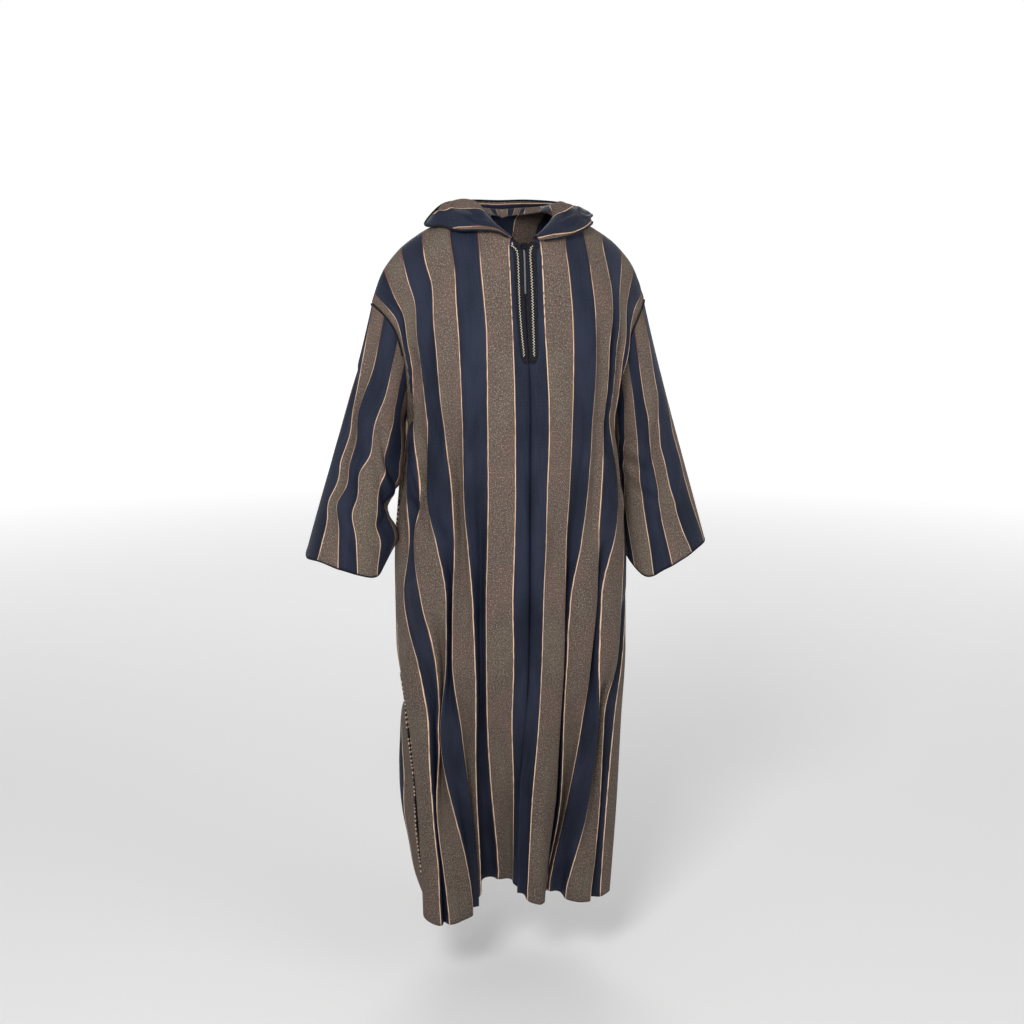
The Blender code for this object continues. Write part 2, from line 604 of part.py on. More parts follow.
# centre back, one piece of cloth
mixed = unit(normals[(-1, True)][NECK_BACK:, 0] + normals[(1, True)][NECK_BACK:, 0])
normals[(-1, True)][NECK_BACK:, 0] = mixed
normals[(1, True)][NECK_BACK:, 0] = mixed
for side in (-1, 1):
    front, back = points[(side, False)], points[(side, True)]
    # side seam, with the hand opening left free between two rows
    low = [row for row, height in enumerate(LOW_HEIGHTS, BELOW + 1) if height >= VENT_HEIGHT]
    rows = slice(BELOW, low[-1] + 1)
    mixed = unit(normals[(side, False)][rows, -1] + normals[(side, True)][rows, -1])
    step, square = sew(front[rows, -1], front[rows, -2], back[rows, -2], mixed)
    free = np.array([1.0 if h not in POCKET_ROWS else POCKET_GAPE / SEAM_GAP for h in (1100,) + LOW_HEIGHTS])
    free = free[: len(step)][:, None]
    free[:2] = 2.0
    shifts[(side, False)][rows, -1] -= step * free
    shifts[(side, True)][rows, -1] += step * free
    normals[(side, False)][rows, -1] = square
    normals[(side, True)][rows, -1] = square
    # shoulder seam
    mixed = unit(normals[(side, False)][0][list(BACK_PICK)] + normals[(side, True)][0])
    step, square = sew(back[0], front[1][list(BACK_PICK)], back[1], mixed)
    shifts[(side, True)][0] += step
    normals[(side, True)][0] = square
    for i in range(3):
        shifts[(side, False)][0, :, i] -= np.interp(range(COUNT), BACK_PICK, step[:, i])
        normals[(side, False)][0, :, i] = np.interp(range(COUNT), BACK_PICK, square[:, i])
    # armhole
    place = rings[side][0]
    order = list(range(ARM_ROWS + 1)) + list(range(ARM_ROWS - 1, 0, -1))
    inner = np.concatenate([front[: ARM_ROWS + 1, -2], back[ARM_ROWS - 1 : 0 : -1, -2]])
    inner[0] = (front[0, -2] + back[0, -2]) / 2
    inner[ARM_ROWS] = (front[ARM_ROWS, -2] + back[ARM_ROWS, -2]) / 2
    own = np.concatenate([normals[(side, False)][: ARM_ROWS + 1, -1], normals[(side, True)][ARM_ROWS - 1 : 0 : -1, -1]])
    mixed = unit(own + ring_normals[side][0])
    step, square = sew(place, inner, rings[side][1], mixed, True)
    step[ARM_ROWS - 3 : ARM_ROWS + 4] *= np.array((2, 2, 3, 3, 3, 2, 2))[:, None]
    ring_shifts[side][0] += step
    ring_normals[side][0] = square
    for i, row in enumerate(order):
        keys = [(side, False)] if i < ARM_ROWS else [(side, True)]
        if i in (0, ARM_ROWS):
            keys = [(side, False), (side, True)]
        for key in keys:
            shifts[key][row, -1] -= step[i]
            normals[key][row, -1] = square[i]
# neckline, where the hood is sewn on
neck_frames = {}
for side in (-1, 1):
    vertices = [(V_ROW - i, False) for i in range(V_ROW + 1)] + [(i, True) for i in range(1, NECK_BACK + 1)]
    place = np.array([points[(side, back)][row, 0] for row, back in vertices])
    inward = np.array([points[(side, back)][row, 0] - points[(side, back)][row, 1] for row, back in vertices])
    own = np.array([normals[(side, back)][row, 0] for row, back in vertices])
    rising = np.array((0, 0, 1.0)) + unit(inward) * 0.2
    across, square = seam_frame(place, inward, rising, False)
    square = square * np.sign((square * own).sum(-1, keepdims=True))
    across[0] = unit(across[0] * np.array((0, 1, 1)))
    square[0] = own[0]
    across[-1] = unit(across[-1] * np.array((0, 1, 1)))
    square[-1] = unit(square[-1] * np.array((0, 1, 1)))
    neck_frames[side] = (place, across * SEAM_GAP / 2, square)
    for i, (row, back) in enumerate(vertices):
        keys = [(side, False), (side, True)] if row == 0 else [(side, back)]
        for key in keys:
            shifts[key][row, 0] -= across[i] * SEAM_GAP / 2
            normals[key][row, 0] = square[i]
for key in points:
    points[key] = points[key] + shifts[key]
for side in rings:
    rings[side] = rings[side] + ring_shifts[side]
# ---------------------------------------------------------------- body and sleeves
# Each long panel is one piece of cloth. It is held as four solids, one below the other, so that its
# collision follows the folds closely: name, first row, last row.
LENGTHS = (("chest", 0, 11), ("waist", 11, 16), ("thigh", 16, 21), ("hem", 21, ROWS - 1))


def cut_across(key, first, last):
    """Rows of a panel with their normals; half a seam gap is left where it goes on."""
    grid = points[key]
    piece = grid[first : last + 1].copy()
    if first > 0:
        piece[0] += unit(grid[first + 1] - grid[first - 1]) * SEAM_GAP / 2
    if last < ROWS - 1:
        piece[-1] -= unit(grid[last + 1] - grid[last - 1]) * SEAM_GAP / 2
    return piece.reshape(-1, 3), normals[key][first : last + 1].reshape(-1, 3)


for part, first, last in LENGTHS:
    rows = last - first + 1
    for side, name in ((-1, "front_right_"), (1, "front_left_")):
        place, square = cut_across((side, False), first, last)
        thickened(name + part, place, quads(rows, COUNT, flipped(side, False)), square, TAUPE)
    place, square = (np.concatenate(both) for both in zip(cut_across((-1, True), first, last), cut_across((1, True), first, last)))
    right = quads(rows, BACK_COUNT, flipped(-1, True))
    left = quads(rows, BACK_COUNT, flipped(1, True)) + rows * BACK_COUNT
    for row in range(max(NECK_BACK - first, 0), rows):
        left[left == (rows + row) * BACK_COUNT] = row * BACK_COUNT
    thickened("back_" + part, place, np.concatenate([right, left]), square, TAUPE)
for side, name in ((-1, "sleeve_right"), (1, "sleeve_left")):
    faces = quads(SLEEVE_ROWS, RING, side == 1, True)
    thickened(name, rings[side].reshape(-1, 3), faces, ring_normals[side].reshape(-1, 3), NAVY)


# ---------------------------------------------------------------- hood
def neck_at(side, share, back):
    """Place, shift and normal on the neckline, read along its edge."""
    place, step, square = neck_frames[side]
    at = V_ROW + share * ARM_ROWS if back else V_ROW - share * ARM_ROWS
    return [np.array([np.interp(at, range(len(v)), v[:, i]) for i in range(3)]) for v in (place, step, square)]


def hood_sections(side):
    """Rows of the hood from the V to the middle of the back: neckline place, then four points."""
    made = []
    table = HOOD_FRONT[side] + HOOD_BACK
    for share, back, *rest in table:
        place, step, square = neck_at(side, share, back)
        made.append((share, back, place + step, square, np.array(rest, float) * np.array((side, 1, 1))))
    return made


def hood_grid():
    """The hood's middle surface, its normals along the neckline, and its face edge."""
    sides = {side: hood_sections(side) for side in (-1, 1)}
    ordered = sides[-1] + sides[1][-2::-1]
    free = np.array([section[4] for section in ordered])
    parts = 2
    free = np.stack([smoothly(free[:, i], parts) for i in range(free.shape[1])], 1)
    shares = np.interp(np.arange(len(free)) / parts, range(len(ordered)), range(len(ordered)))
    edge, square = [], []
    stations = [
        (-1 if i < len(sides[-1]) else 1, -s[0] if s[1] else s[0]) for i, s in enumerate(ordered)
    ]
    for at in shares:
        i = min(int(at), len(stations) - 2)
        t = at - i
        side = stations[i][0] if i < len(sides[-1]) - 1 else 1
        share = stations[i][1] * (1 - t) + stations[i + 1][1] * t
        place, step, normal = neck_at(side, abs(share), share < 0)
        edge.append(place + step)
        square.append(normal)
    edge, square = np.array(edge), np.array(square)
    full = np.concatenate([edge[:, None], free], 1)
    grid = np.stack([smoothly(section, 2) for section in full])
    return grid, square


HOOD, HOOD_SEAM = hood_grid()
hood_faces = quads(HOOD.shape[0], HOOD.shape[1], True)
hood_normals = normals_of(HOOD.reshape(-1, 3), hood_faces).reshape(HOOD.shape)
hood_normals[:, 0] = HOOD_SEAM
thickened("hood", HOOD.reshape(-1, 3), hood_faces, hood_normals.reshape(-1, 3), NAVY, 1.6)


# ---------------------------------------------------------------- braid and zip at the neck
def on_front(side, share, cloth, lift):
    """A point on the front, given by its row and its cloth from the row's start, lifted off it."""
    row = share * ARM_ROWS
    low = int(min(row, ARM_ROWS - 1))
    found, ways = [], []
    for step in (low, low + 1):
        _, first, last = hung_row(side, False, step / ARM_ROWS, 1500.0)
        column = np.interp(cloth / (last - first) * HALF_WIDTH, COLUMNS, range(COUNT))
        c = int(min(column, COUNT - 2))
        grid, square = points[(side, False)][step], normals[(side, False)][step]
        found.append(grid[c] + (grid[c + 1] - grid[c]) * (column - c))
        ways.append(square[c] + (square[c + 1] - square[c]) * (column - c))
    t = row - low
    place = found[0] * (1 - t) + found[1] * t
    way = unit(ways[0] * (1 - t) + ways[1] * t)
    return place + way * (CLOTH / 2 + lift), way


# share down the armhole rows, cloth from the edge to the braid's inner side and to its outer side
BRAID = (
    (0.36, 1.0, 15),
    (0.38, 1.4, 16.5),
    (0.40, 2.2, 18),
    (0.44, 2.2, 18),
    (0.48, 2.2, 18),
    (0.52, 2.2, 18),
    (0.56, 2.0, 18),
    (0.60, 0.6, 17.5),
    (0.65, 0.6, 17),
    (0.70, 0.6, 16),
    (0.745, 0.6, 14.5),
    (0.775, 0.6, 13),
    (0.79, 0.6, 9),
)
BRAID_THICK = 1.4
for side, name in ((-1, "braid_right"), (1, "braid_left")):
    grid, ways = [], []
    for share, near, far in BRAID:
        off = SEAM_GAP + BRAID_THICK / 2 + (0.5 if share < 0.42 else 0.1)
        line = [on_front(side, share, c, off) for c in np.linspace(near, far, 4)]
        grid.append([p for p, _ in line])
        ways.append([w for _, w in line])
    faces = quads(len(BRAID), 4, side == -1)
    thickened(name, np.reshape(grid, (-1, 3)), faces, np.reshape(ways, (-1, 3)), BLACK, BRAID_THICK)


def ridge(share, lift):
    """A point on the centre seam, lifted off both fronts."""
    right, way = on_front(-1, share, 0, lift)
    left, other = on_front(1, share, 0, lift)
    return (right + left) / 2, unit(way + other)


zip_line = np.array([ridge(share, SEAM_GAP + 1.1)[0] for share in np.linspace(0.425, 0.578, 7)])
tube("zip", zip_line, 1.0, SILVER, 6)
top, ahead = ridge(0.40, 2.0)
below, _ = ridge(0.425, 2.0)
knot_line = np.array([top + (below - top) * t + ahead * 1.4 for t in (-0.18, 0.25, 0.6)])
tube("neck_knot", knot_line, 2.6, BLACK, 7)
# ---------------------------------------------------------------- piping
for side, name in ((-1, "right"), (1, "left")):
    ring, square = rings[side][0] - ring_shifts[side][0], ring_normals[side][0]
    lifted = ring + square * (CLOTH / 2 + 2 * SEAM_GAP + PIPING)
    seen = list(range(-4, 6))
    tube("armhole_piping_" + name, smoothly(lifted[seen], 2), PIPING, BLACK)
    end, before = rings[side][-1], rings[side][-2]
    tube("cuff_piping_" + name, end + unit(end - before) * (PIPING + SEAM_GAP), PIPING, BLACK, 5, True)
    vent = [row for row, h in enumerate(LOW_HEIGHTS, BELOW + 1) if h < VENT_HEIGHT] + [ROWS - 1]
    for back, which in ((False, "front"), (True, "back")):
        edge = points[(side, back)][vent[1 if back else 0 :], -1]
        beside = points[(side, back)][vent[1 if back else 0 :], -2]
        away = unit(edge - beside)
        line = edge + away * (PIPING + SEAM_GAP)
        tube("vent_piping_" + which + "_" + name, line, PIPING, BLACK)
    slit = [row for row, h in enumerate(LOW_HEIGHTS, BELOW + 1) if h in POCKET_ROWS]
    span = [slit[0] - 1] + slit + [slit[-1] + 1]
    front, back = points[(side, False)], points[(side, True)]
    square = (normals[(side, False)][span, -1] + normals[(side, True)][span, -1]) / 2
    lifted = square * (CLOTH / 2 + SEAM_GAP + PIPING)
    around = np.concatenate([(front[span, -1] + lifted), (back[span, -1] + lifted)[-2:0:-1]])
    tube("pocket_piping_" + name, around, PIPING, BLACK, 5, True)
rim, inside = HOOD[:, -1], HOOD[:, -2]
outward = unit(rim - inside)
ahead = unit(np.gradient(rim, axis=0))
outward = unit(outward - ahead * (outward * ahead).sum(-1, keepdims=True))
# where the face edge turns in behind the neck the piping passes over the cloth
turning = np.exp(-(((rim - np.array((0, 27, 1488))) * np.array((0, 1, 0.5)) / 15) ** 2).sum(-1))
turning = np.where(turning > 0.3, turning, 0)[:, None]
outward = unit(outward + np.array((0, 0, 1.6)) * turning)
rim_line = rim + outward * (PIPING + 2 * SEAM_GAP + 1.2 * turning)
tube("hood_piping", rim_line[1:-1], PIPING, BLACK)
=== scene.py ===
"""Djellaba robe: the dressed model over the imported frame.

Metres, +Z up, the wearer faces -Y; "right" and "left" are the wearer's and the right side lies at
-X. The shapes are worked out in millimetres above the ground, by rows of cloth that run from the
centre front or centre back out to the side, and by the length of cloth measured along each row.
"""

import math

import bmesh
import bpy
import numpy as np
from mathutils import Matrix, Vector


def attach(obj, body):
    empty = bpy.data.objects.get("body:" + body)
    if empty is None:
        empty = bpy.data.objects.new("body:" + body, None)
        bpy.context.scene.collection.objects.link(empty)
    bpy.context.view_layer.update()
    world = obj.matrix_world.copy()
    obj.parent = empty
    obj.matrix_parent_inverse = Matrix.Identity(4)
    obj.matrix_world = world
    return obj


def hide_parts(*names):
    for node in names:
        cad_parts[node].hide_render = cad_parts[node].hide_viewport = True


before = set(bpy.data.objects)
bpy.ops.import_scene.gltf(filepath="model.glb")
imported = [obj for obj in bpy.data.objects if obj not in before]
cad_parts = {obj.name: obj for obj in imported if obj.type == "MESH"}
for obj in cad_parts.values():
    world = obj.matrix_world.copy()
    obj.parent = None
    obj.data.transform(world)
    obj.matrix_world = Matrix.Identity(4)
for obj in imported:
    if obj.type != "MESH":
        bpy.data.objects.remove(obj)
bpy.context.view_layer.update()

# ================================================================ room, lights and camera
# A pale studio floor, two soft lights in front and one behind, and a camera 1.5 m above the floor,
# a little to the wearer's right, looking down by 11 degrees.
GROUND = -1.470
FLOOR_REACH = 30
WHITE = (1, 1, 1, 1)
AZIMUTH = math.radians(14)
PITCH = 11
DISTANCE = 3.0

camera_data = bpy.data.cameras.new("camera")
camera_data.lens = 55.72
camera_data.sensor_width = 36
camera = bpy.data.objects.new("camera", camera_data)
camera.location = (-DISTANCE * math.sin(AZIMUTH), -DISTANCE * math.cos(AZIMUTH), 0.03)
camera.rotation_euler = (math.radians(90 - PITCH), 0, -AZIMUTH)
bpy.context.scene.collection.objects.link(camera)
bpy.context.scene.camera = camera


def soft_range(tree, source, low, high, start, end):
    """A socket that goes softly from start to end while its source goes from low to high."""
    made = tree.nodes.new("ShaderNodeMapRange")
    made.interpolation_type = "SMOOTHSTEP"
    for socket, value in zip(made.inputs[1:5], (low, high, start, end)):
        socket.default_value = value
    tree.links.new(source, made.inputs[0])
    return made.outputs[0]


floor_mesh = bpy.data.meshes.new("floor")
corners = [(x * FLOOR_REACH, y * FLOOR_REACH, GROUND) for x, y in ((-1, -1), (1, -1), (1, 1), (-1, 1))]
floor_mesh.from_pydata(corners, [], [(0, 1, 2, 3)])
floor = bpy.data.objects.new("floor", floor_mesh)
bpy.context.scene.collection.objects.link(floor)
floor_material = bpy.data.materials.new("floor")
floor_material.use_nodes = True
tree = floor_material.node_tree
paper = tree.nodes["Principled BSDF"]
paper.inputs["Base Color"].default_value = (0.84, 0.84, 0.84, 1)
paper.inputs["Roughness"].default_value = 0.95
paper.inputs["Emission Color"].default_value = WHITE
# far from the robe the floor glows into the white of the room
spot = tree.nodes.new("ShaderNodeTexCoord")
away = tree.nodes.new("ShaderNodeVectorMath")
away.operation = "LENGTH"
tree.links.new(spot.outputs["Object"], away.inputs[0])
glow = soft_range(tree, away.outputs["Value"], 1.5, 7.0, 0.0, 0.65)
tree.links.new(glow, paper.inputs["Emission Strength"])
floor_mesh.materials.append(floor_material)


def area_light(name, place, target, size, power):
    """A square soft light that faces a point."""
    data = bpy.data.lights.new(name, "AREA")
    data.size = size
    data.energy = power
    light = bpy.data.objects.new(name, data)
    light.location = place
    light.rotation_euler = (Vector(target) - Vector(place)).to_track_quat("-Z", "Y").to_euler()
    bpy.context.scene.collection.objects.link(light)


area_light("key", (-1.5, -2.6, 1.3), (0, 0, -0.1), 1.0, 68)
area_light("fill", (2.0, -2.4, 0.7), (0, 0, -0.3), 1.6, 15)
area_light("rear", (0.6, 2.6, 1.4), (0, 0, -0.5), 2.0, 30)
# the room is white all round and dimmer overhead
world = bpy.data.worlds.new("studio")
world.use_nodes = True
tree = world.node_tree
facing = tree.nodes.new("ShaderNodeTexCoord")
axes = tree.nodes.new("ShaderNodeSeparateXYZ")
tree.links.new(facing.outputs["Generated"], axes.inputs[0])
bright = soft_range(tree, axes.outputs[2], 0.25, 0.65, 1.0, 0.35)
tree.links.new(bright, tree.nodes["Background"].inputs["Strength"])
tree.nodes["Background"].inputs["Color"].default_value = WHITE
bpy.context.scene.world = world
bpy.context.scene.view_settings.view_transform = "Standard"

# ================================================================ the striped cloth
# One woven cloth for the whole robe: smooth navy bands 48 mm wide and heathered taupe bands 50 mm
# wide, with a cream thread line and a thin red-brown one along both edges of each taupe band.
BAND = 98.0
TAUPE_WIDTH = 50.0
FIRST_TAUPE = 26.0
NAVY_DARK = (0.009, 0.0125, 0.0235)
NAVY_LIGHT = (0.0235, 0.0285, 0.051)
TAUPE_DARK = (0.062, 0.045, 0.037)
TAUPE_MID = (0.150, 0.115, 0.095)
TAUPE_LIGHT = (0.35, 0.295, 0.25)
TAUPE_RED = (0.19, 0.105, 0.086)
TAUPE_OLIVE = (0.150, 0.135, 0.090)
CREAM = (0.72, 0.52, 0.37)
RED_BROWN = (0.10, 0.042, 0.034)


class Wire:
    """A socket that takes +, -, * and the like, so that a shader reads as a formula."""

    def __init__(self, tree, socket):
        self.tree, self.socket = tree, socket

    def node(self, kind, **settings):
        made = self.tree.nodes.new(kind)
        for key, value in settings.items():
            setattr(made, key, value)
        return made

    def feed(self, socket, value):
        if isinstance(value, Wire):
            self.tree.links.new(value.socket, socket)
        else:
            socket.default_value = value

    def math(self, operation, *values, clamp=False):
        made = self.node("ShaderNodeMath", operation=operation, use_clamp=clamp)
        for socket, value in zip(made.inputs, (self,) + values):
            self.feed(socket, value)
        return Wire(self.tree, made.outputs[0])

    def __add__(self, other):
        return self.math("ADD", other)

    def __sub__(self, other):
        return self.math("SUBTRACT", other)

    def __mul__(self, other):
        return self.math("MULTIPLY", other)

    def __truediv__(self, other):
        return self.math("DIVIDE", other)

    __radd__, __rmul__ = __add__, __mul__

    def __rsub__(self, other):
        return (self * -1.0) + other

    def ramp(self, low, high):
        """0 below low, 1 above high, soft between; low may be the larger."""
        made = self.node("ShaderNodeMapRange", interpolation_type="SMOOTHSTEP")
        for socket, value in zip(made.inputs, (self, low, high)):
            self.feed(socket, value)
        return Wire(self.tree, made.outputs[0])

    def mix(self, first, second):
        """The first colour where this is 0, the second where it is 1."""
        made = self.node("ShaderNodeMix", data_type="RGBA")
        self.feed(made.inputs[0], self)
        for socket, value in ((made.inputs[6], first), (made.inputs[7], second)):
            self.feed(socket, value if isinstance(value, Wire) else (*value, 1))
        return Wire(self.tree, made.outputs[2])

    def wave(self, period):
        """A sine from -1 to 1 of this length, with its period, both in millimetres."""
        return (self * (2 * math.pi / period)).math("SINE")


class Paint:
    """A new material with wires for its own u and v (in millimetres) and its shader."""

    def __init__(self, name, roughness, layer="cloth"):
        self.material = bpy.data.materials.new(name)
        self.material.use_nodes = True
        self.tree = self.material.node_tree
        self.shader = self.tree.nodes["Principled BSDF"]
        place = self.tree.nodes.new("ShaderNodeUVMap")
        place.uv_map = layer
        apart = self.tree.nodes.new("ShaderNodeSeparateXYZ")
        self.tree.links.new(place.outputs[0], apart.inputs[0])
        self.u = Wire(self.tree, apart.outputs[0]) * 1000.0
        self.v = Wire(self.tree, apart.outputs[1]) * 1000.0
        self.set("Roughness", roughness)

    def set(self, name, value):
        """Give an input of the shader a value or a wire."""
        self.u.feed(self.shader.inputs[name], value)

    def noise(self, across, along, detail=2.0, shift=0.0):
        """Soft noise from 0 to 1 with grains of the given size in millimetres."""
        joined = self.tree.nodes.new("ShaderNodeCombineXYZ")
        self.u.feed(joined.inputs[0], self.u / across + shift)
        self.u.feed(joined.inputs[1], self.v / along)
        made = self.u.node("ShaderNodeTexNoise", noise_dimensions="2D")
        self.tree.links.new(joined.outputs[0], made.inputs["Vector"])
        made.inputs["Scale"].default_value = 1.0
        made.inputs["Detail"].default_value = detail
        return Wire(self.tree, made.outputs[0])

    def bump(self, height, distance):
        """Raise the surface by the height, of which 1 stands for the distance in metres."""
        made = height.node("ShaderNodeBump")
        for name, value in (("Distance", distance), ("Strength", 1.0), ("Height", height)):
            height.feed(made.inputs[name], value)
        self.set("Normal", Wire(self.tree, made.outputs[0]))


def striped_cloth():
    """The woven cloth, read from u across the bands and v down them."""
    paint = Paint("striped_cloth", 0.8)
    # millimetres inside a taupe band's edge, which wanders by half a millimetre
    wander = (paint.noise(400.0, 26.0, 1.0) - 0.5) * 1.1
    across = ((paint.u + (BAND - FIRST_TAUPE)) + wander).math("FLOORED_MODULO", BAND)
    inside = (TAUPE_WIDTH - across).math("MINIMUM", across)
    taupe = inside.ramp(-0.2, 0.2)
    cream = inside.ramp(0.1, 0.4) * inside.ramp(2.2, 1.8)
    thread = inside.ramp(1.9, 2.2) * inside.ramp(3.1, 2.7)
    thread = thread + inside.ramp(-1.3, -1.0) * inside.ramp(0.3, 0.0)
    grain = paint.noise(2.2, 2.6, 3.0)
    fleck = paint.noise(2.1, 2.3, 1.0, 31.0)
    tint = paint.noise(6.0, 7.0, 3.0, 17.0)
    cloud = paint.noise(60.0, 140.0, 2.0, 7.0)
    patch = paint.noise(75.0, 110.0, 2.0, 19.0)
    streak = paint.noise(1.6, 60.0, 2.0, 11.0)
    heather = grain.ramp(0.24, 0.76).mix(TAUPE_DARK, TAUPE_MID)
    for spots, low, high, strength, colour in (
        (patch, 0.50, 0.68, 0.22, TAUPE_RED),
        (patch, 0.48, 0.32, 0.25, TAUPE_OLIVE),
        (tint, 0.56, 0.72, 0.35, TAUPE_RED),
        (tint, 0.44, 0.30, 0.35, TAUPE_OLIVE),
        (fleck, 0.58, 0.78, 0.8, TAUPE_LIGHT),
    ):
        heather = (spots.ramp(low, high) * strength).mix(heather, colour)
    navy = (streak * 0.35 + cloud * 0.9 + (grain - 0.5) * 0.5).ramp(0.30, 0.92)
    colour = taupe.mix(navy.mix(NAVY_DARK, NAVY_LIGHT), heather)
    colour = (thread * 0.85).mix(colour, RED_BROWN)
    # painted shade: deeper in tone towards the hem, where less light falls on the robe
    colour = (paint.v.ramp(380.0, 1150.0) * 0.22).mix(colour, (0.0, 0.0, 0.0))
    # the cream is rubbed away in places, and near the shoulders it mostly gives way to the red-brown,
    # except beside the braid
    worn = paint.noise(2.2, 26.0, 2.0, 3.0).ramp(0.32, 0.55) * 0.45 + 0.5
    shows = paint.v + paint.noise(200.0, 40.0, 1.0, 5.0) * 50.0 + paint.u.ramp(150.0, 160.0) * 65.0
    hidden = shows.ramp(125.0, 170.0).math("MAXIMUM", paint.u.ramp(50.0, 45.0))
    # beside the braid the line is sewn over here and there
    whole = paint.noise(5.0, 10.0, 1.0, 9.0).ramp(0.40, 0.47)
    whole = whole.math("MAXIMUM", paint.v.ramp(240.0, 280.0)).math("MAXIMUM", paint.u.ramp(40.0, 45.0))
    worn = worn * (whole * 0.75 + 0.25) * (hidden * 0.88 + 0.12)
    paint.set("Base Color", (cream * worn).mix((cream * 0.8).mix(colour, RED_BROWN), CREAM))
    paint.set("Roughness", taupe * 0.30 + 0.52)
    paint.set("Specular IOR Level", 0.10)
    twill = (paint.u + paint.v).wave(1.1) * 0.3 + (paint.u - paint.v * 0.5).wave(0.9) * 0.2
    paint.bump(twill + (grain + fleck) * (taupe * 1.6) + cream * 0.8 + cloud * 2.0, 0.00022)
    return paint.material


CLOTH_MATERIAL = striped_cloth()

# ================================================================ front panels
# Two panels joined by a seam down the centre front below the neck slit. Each hangs from the crown
# of the shoulder; the cloth left over between two bands folds inwards in long upright folds.
SIDES = ((-1, "right"), (1, "left"))
ORIGIN = np.array((0, 0, 1470.0))
CLOTH = 1.8  # thickness
HALF_WIDTH = 370.0  # cloth from a centre seam to a side seam
FOLD_DEPTH = 0.54  # share of the spare cloth that a fold shows
HEM_LEVEL = 150
# rows start at shares of the armhole, then at heights; those at the armhole count as above all
SHARES = np.linspace(0, 1, 53)
UNDERARM = len(SHARES) - 1
LOW_HEIGHTS = np.linspace(1092, HEM_LEVEL, 122)
ROW_HEIGHTS = np.concatenate([np.full(len(SHARES), 1500.0), LOW_HEIGHTS])
COLUMNS = np.linspace(0, HALF_WIDTH, 111)
VENT_HEIGHT = 610
SLIT = (860, 955)
# share down the armhole, then (out, y, height) on its front and on its back
ARMHOLE = (
    (0.0, (264, 10, 1320), (264, 10, 1320)),
    (0.2, (246, -24, 1300), (252, 52, 1305)),
    (0.4, (226, -38, 1266), (236, 80, 1270)),
    (0.6, (213, -34, 1215), (220, 84, 1215)),
    (0.8, (205, -12, 1152), (207, 62, 1152)),
    (1.0, (200, 24, 1098), (200, 24, 1098)),
)
# share down the armhole, start of the row, reach at its start, reach at its end, cloth at both ends
FRONT_TOP = (
    (0.0, (68, 0, 1490), (250, 0, -50), (30, 0, -340), 74, 340),
    (0.2, (50, -55, 1472), (240, -60, -30), (60, 20, -260), 48, 340),
    (0.4, (0, -118, 1428), (300, -30, -20), (30, 80, -160), 0, 338),
    (0.6, (0, -130, 1330), (370, -10, -10), (-60, 170, -80), 0, 345),
    (0.8, (0, -140, 1215), (430, 0, 0), (-30, 230, -30), 0, 356),
    (1.0, (0, -146, 1100), (410, 0, 0), (-15, 272, 0), 0, 370),
)
BACK_TOP = (
    (0.0, (68, 0, 1490), (250, 0, -50), (30, 0, -340), 74, 340),
    (0.1, (48, 50, 1482), (250, 50, -40), (45, -10, -300), 48, 340),
    (0.2, (0, 74, 1476), (330, 40, -30), (60, -20, -270), 0, 340),
    (0.4, (0, 98, 1420), (370, 20, -20), (20, -100, -170), 0, 342),
    (0.6, (0, 118, 1330), (390, 0, -10), (-60, -150, -80), 0, 348),
    (0.8, (0, 130, 1215), (410, 0, 0), (0, -190, -30), 0, 358),
    (1.0, (0, 136, 1100), (410, 0, 0), (20, -230, 0), 0, 370),
)
# height, depth at the centre, inward turn at the side edge, centre x, then the half width and the
# side edge's y, of the right front and of the left front
FRONT_LOW = (
    (1100, 146, -15, 0, 200, 24, 200, 24),
    (970, 147, -20, 0, 213, 22, 217, 22),
    (820, 147, 0, 0, 226, 18, 230, 18),
    (660, 146, 0, -2, 224, 12, 230, 8),
    (505, 141, 0, -6, 216, -14, 217, -12),
    (345, 134, 0, -10, 202, -46, 204, -32),
    (150, 126, 0, -12, 180, -82, 189, -46),
)
BACK_LOW = (
    (1100, 136, 20, 0, 200, 24),
    (970, 138, -20, 0, 211, 22),
    (820, 140, 0, 0, 224, 18),
    (660, 140, 0, 0, 224, 12),
    (505, 138, 60, 0, 206, -12),
    (345, 134, 90, 0, 194, -34),
    (150, 130, 110, 0, 178, -52),
)
# a row for each band edge: cloth from the centre seam, then how far out along the row it hangs at
# each level
LEVELS = (0.0, 0.2, 0.4, 0.7, 1.0, 970, 880, 780, 660, 530, 360, 170)
BAND_EDGES = {
    -1: (
        (26, -48, -22, 34, 30, 29, 29, 31, 34, 30, 28, 19, 20),
        (76, 2, 32, 92, 81, 81, 81, 83, 86, 84, 76, 64, 54),
        (124, 52, 85, 142, 131, 125, 124, 117, 109, 103, 96, 94, 88),
        (174, 106, 145, 195, 178, 166, 148, 145, 149, 148, 125, 106, 92),
        (222, 157, 190, 238, 217, 202, 204, 177, 158, 158, 166, 146, 128),
        (272, 210, 236, 272, 247, 248, 222, 236, 213, 181, 167, 185, 192),
        (320, 260, 262, 290, 272, 290, 268, 248, 270, 222, 188, 188, 206),
    ),
    1: (
        (26, -48, -22, 26, 29, 34, 30, 29, 24, 23, 21, 13, 9),
        (76, 4, 32, 77, 85, 82, 76, 71, 70, 73, 75, 80, 66),
        (124, 58, 74, 133, 135, 128, 117, 103, 80, 75, 82, 88, 75),
        (174, 108, 124, 198, 173, 171, 155, 146, 146, 135, 121, 101, 77),
        (222, 160, 180, 226, 196, 196, 215, 191, 152, 147, 156, 146, 109),
        (272, 208, 218, 257, 228, 240, 255, 245, 228, 220, 174, 178, 164),
        (320, 258, 256, 284, 260, 285, 284, 285, 275, 245, 207, 196, 194),
    ),
}
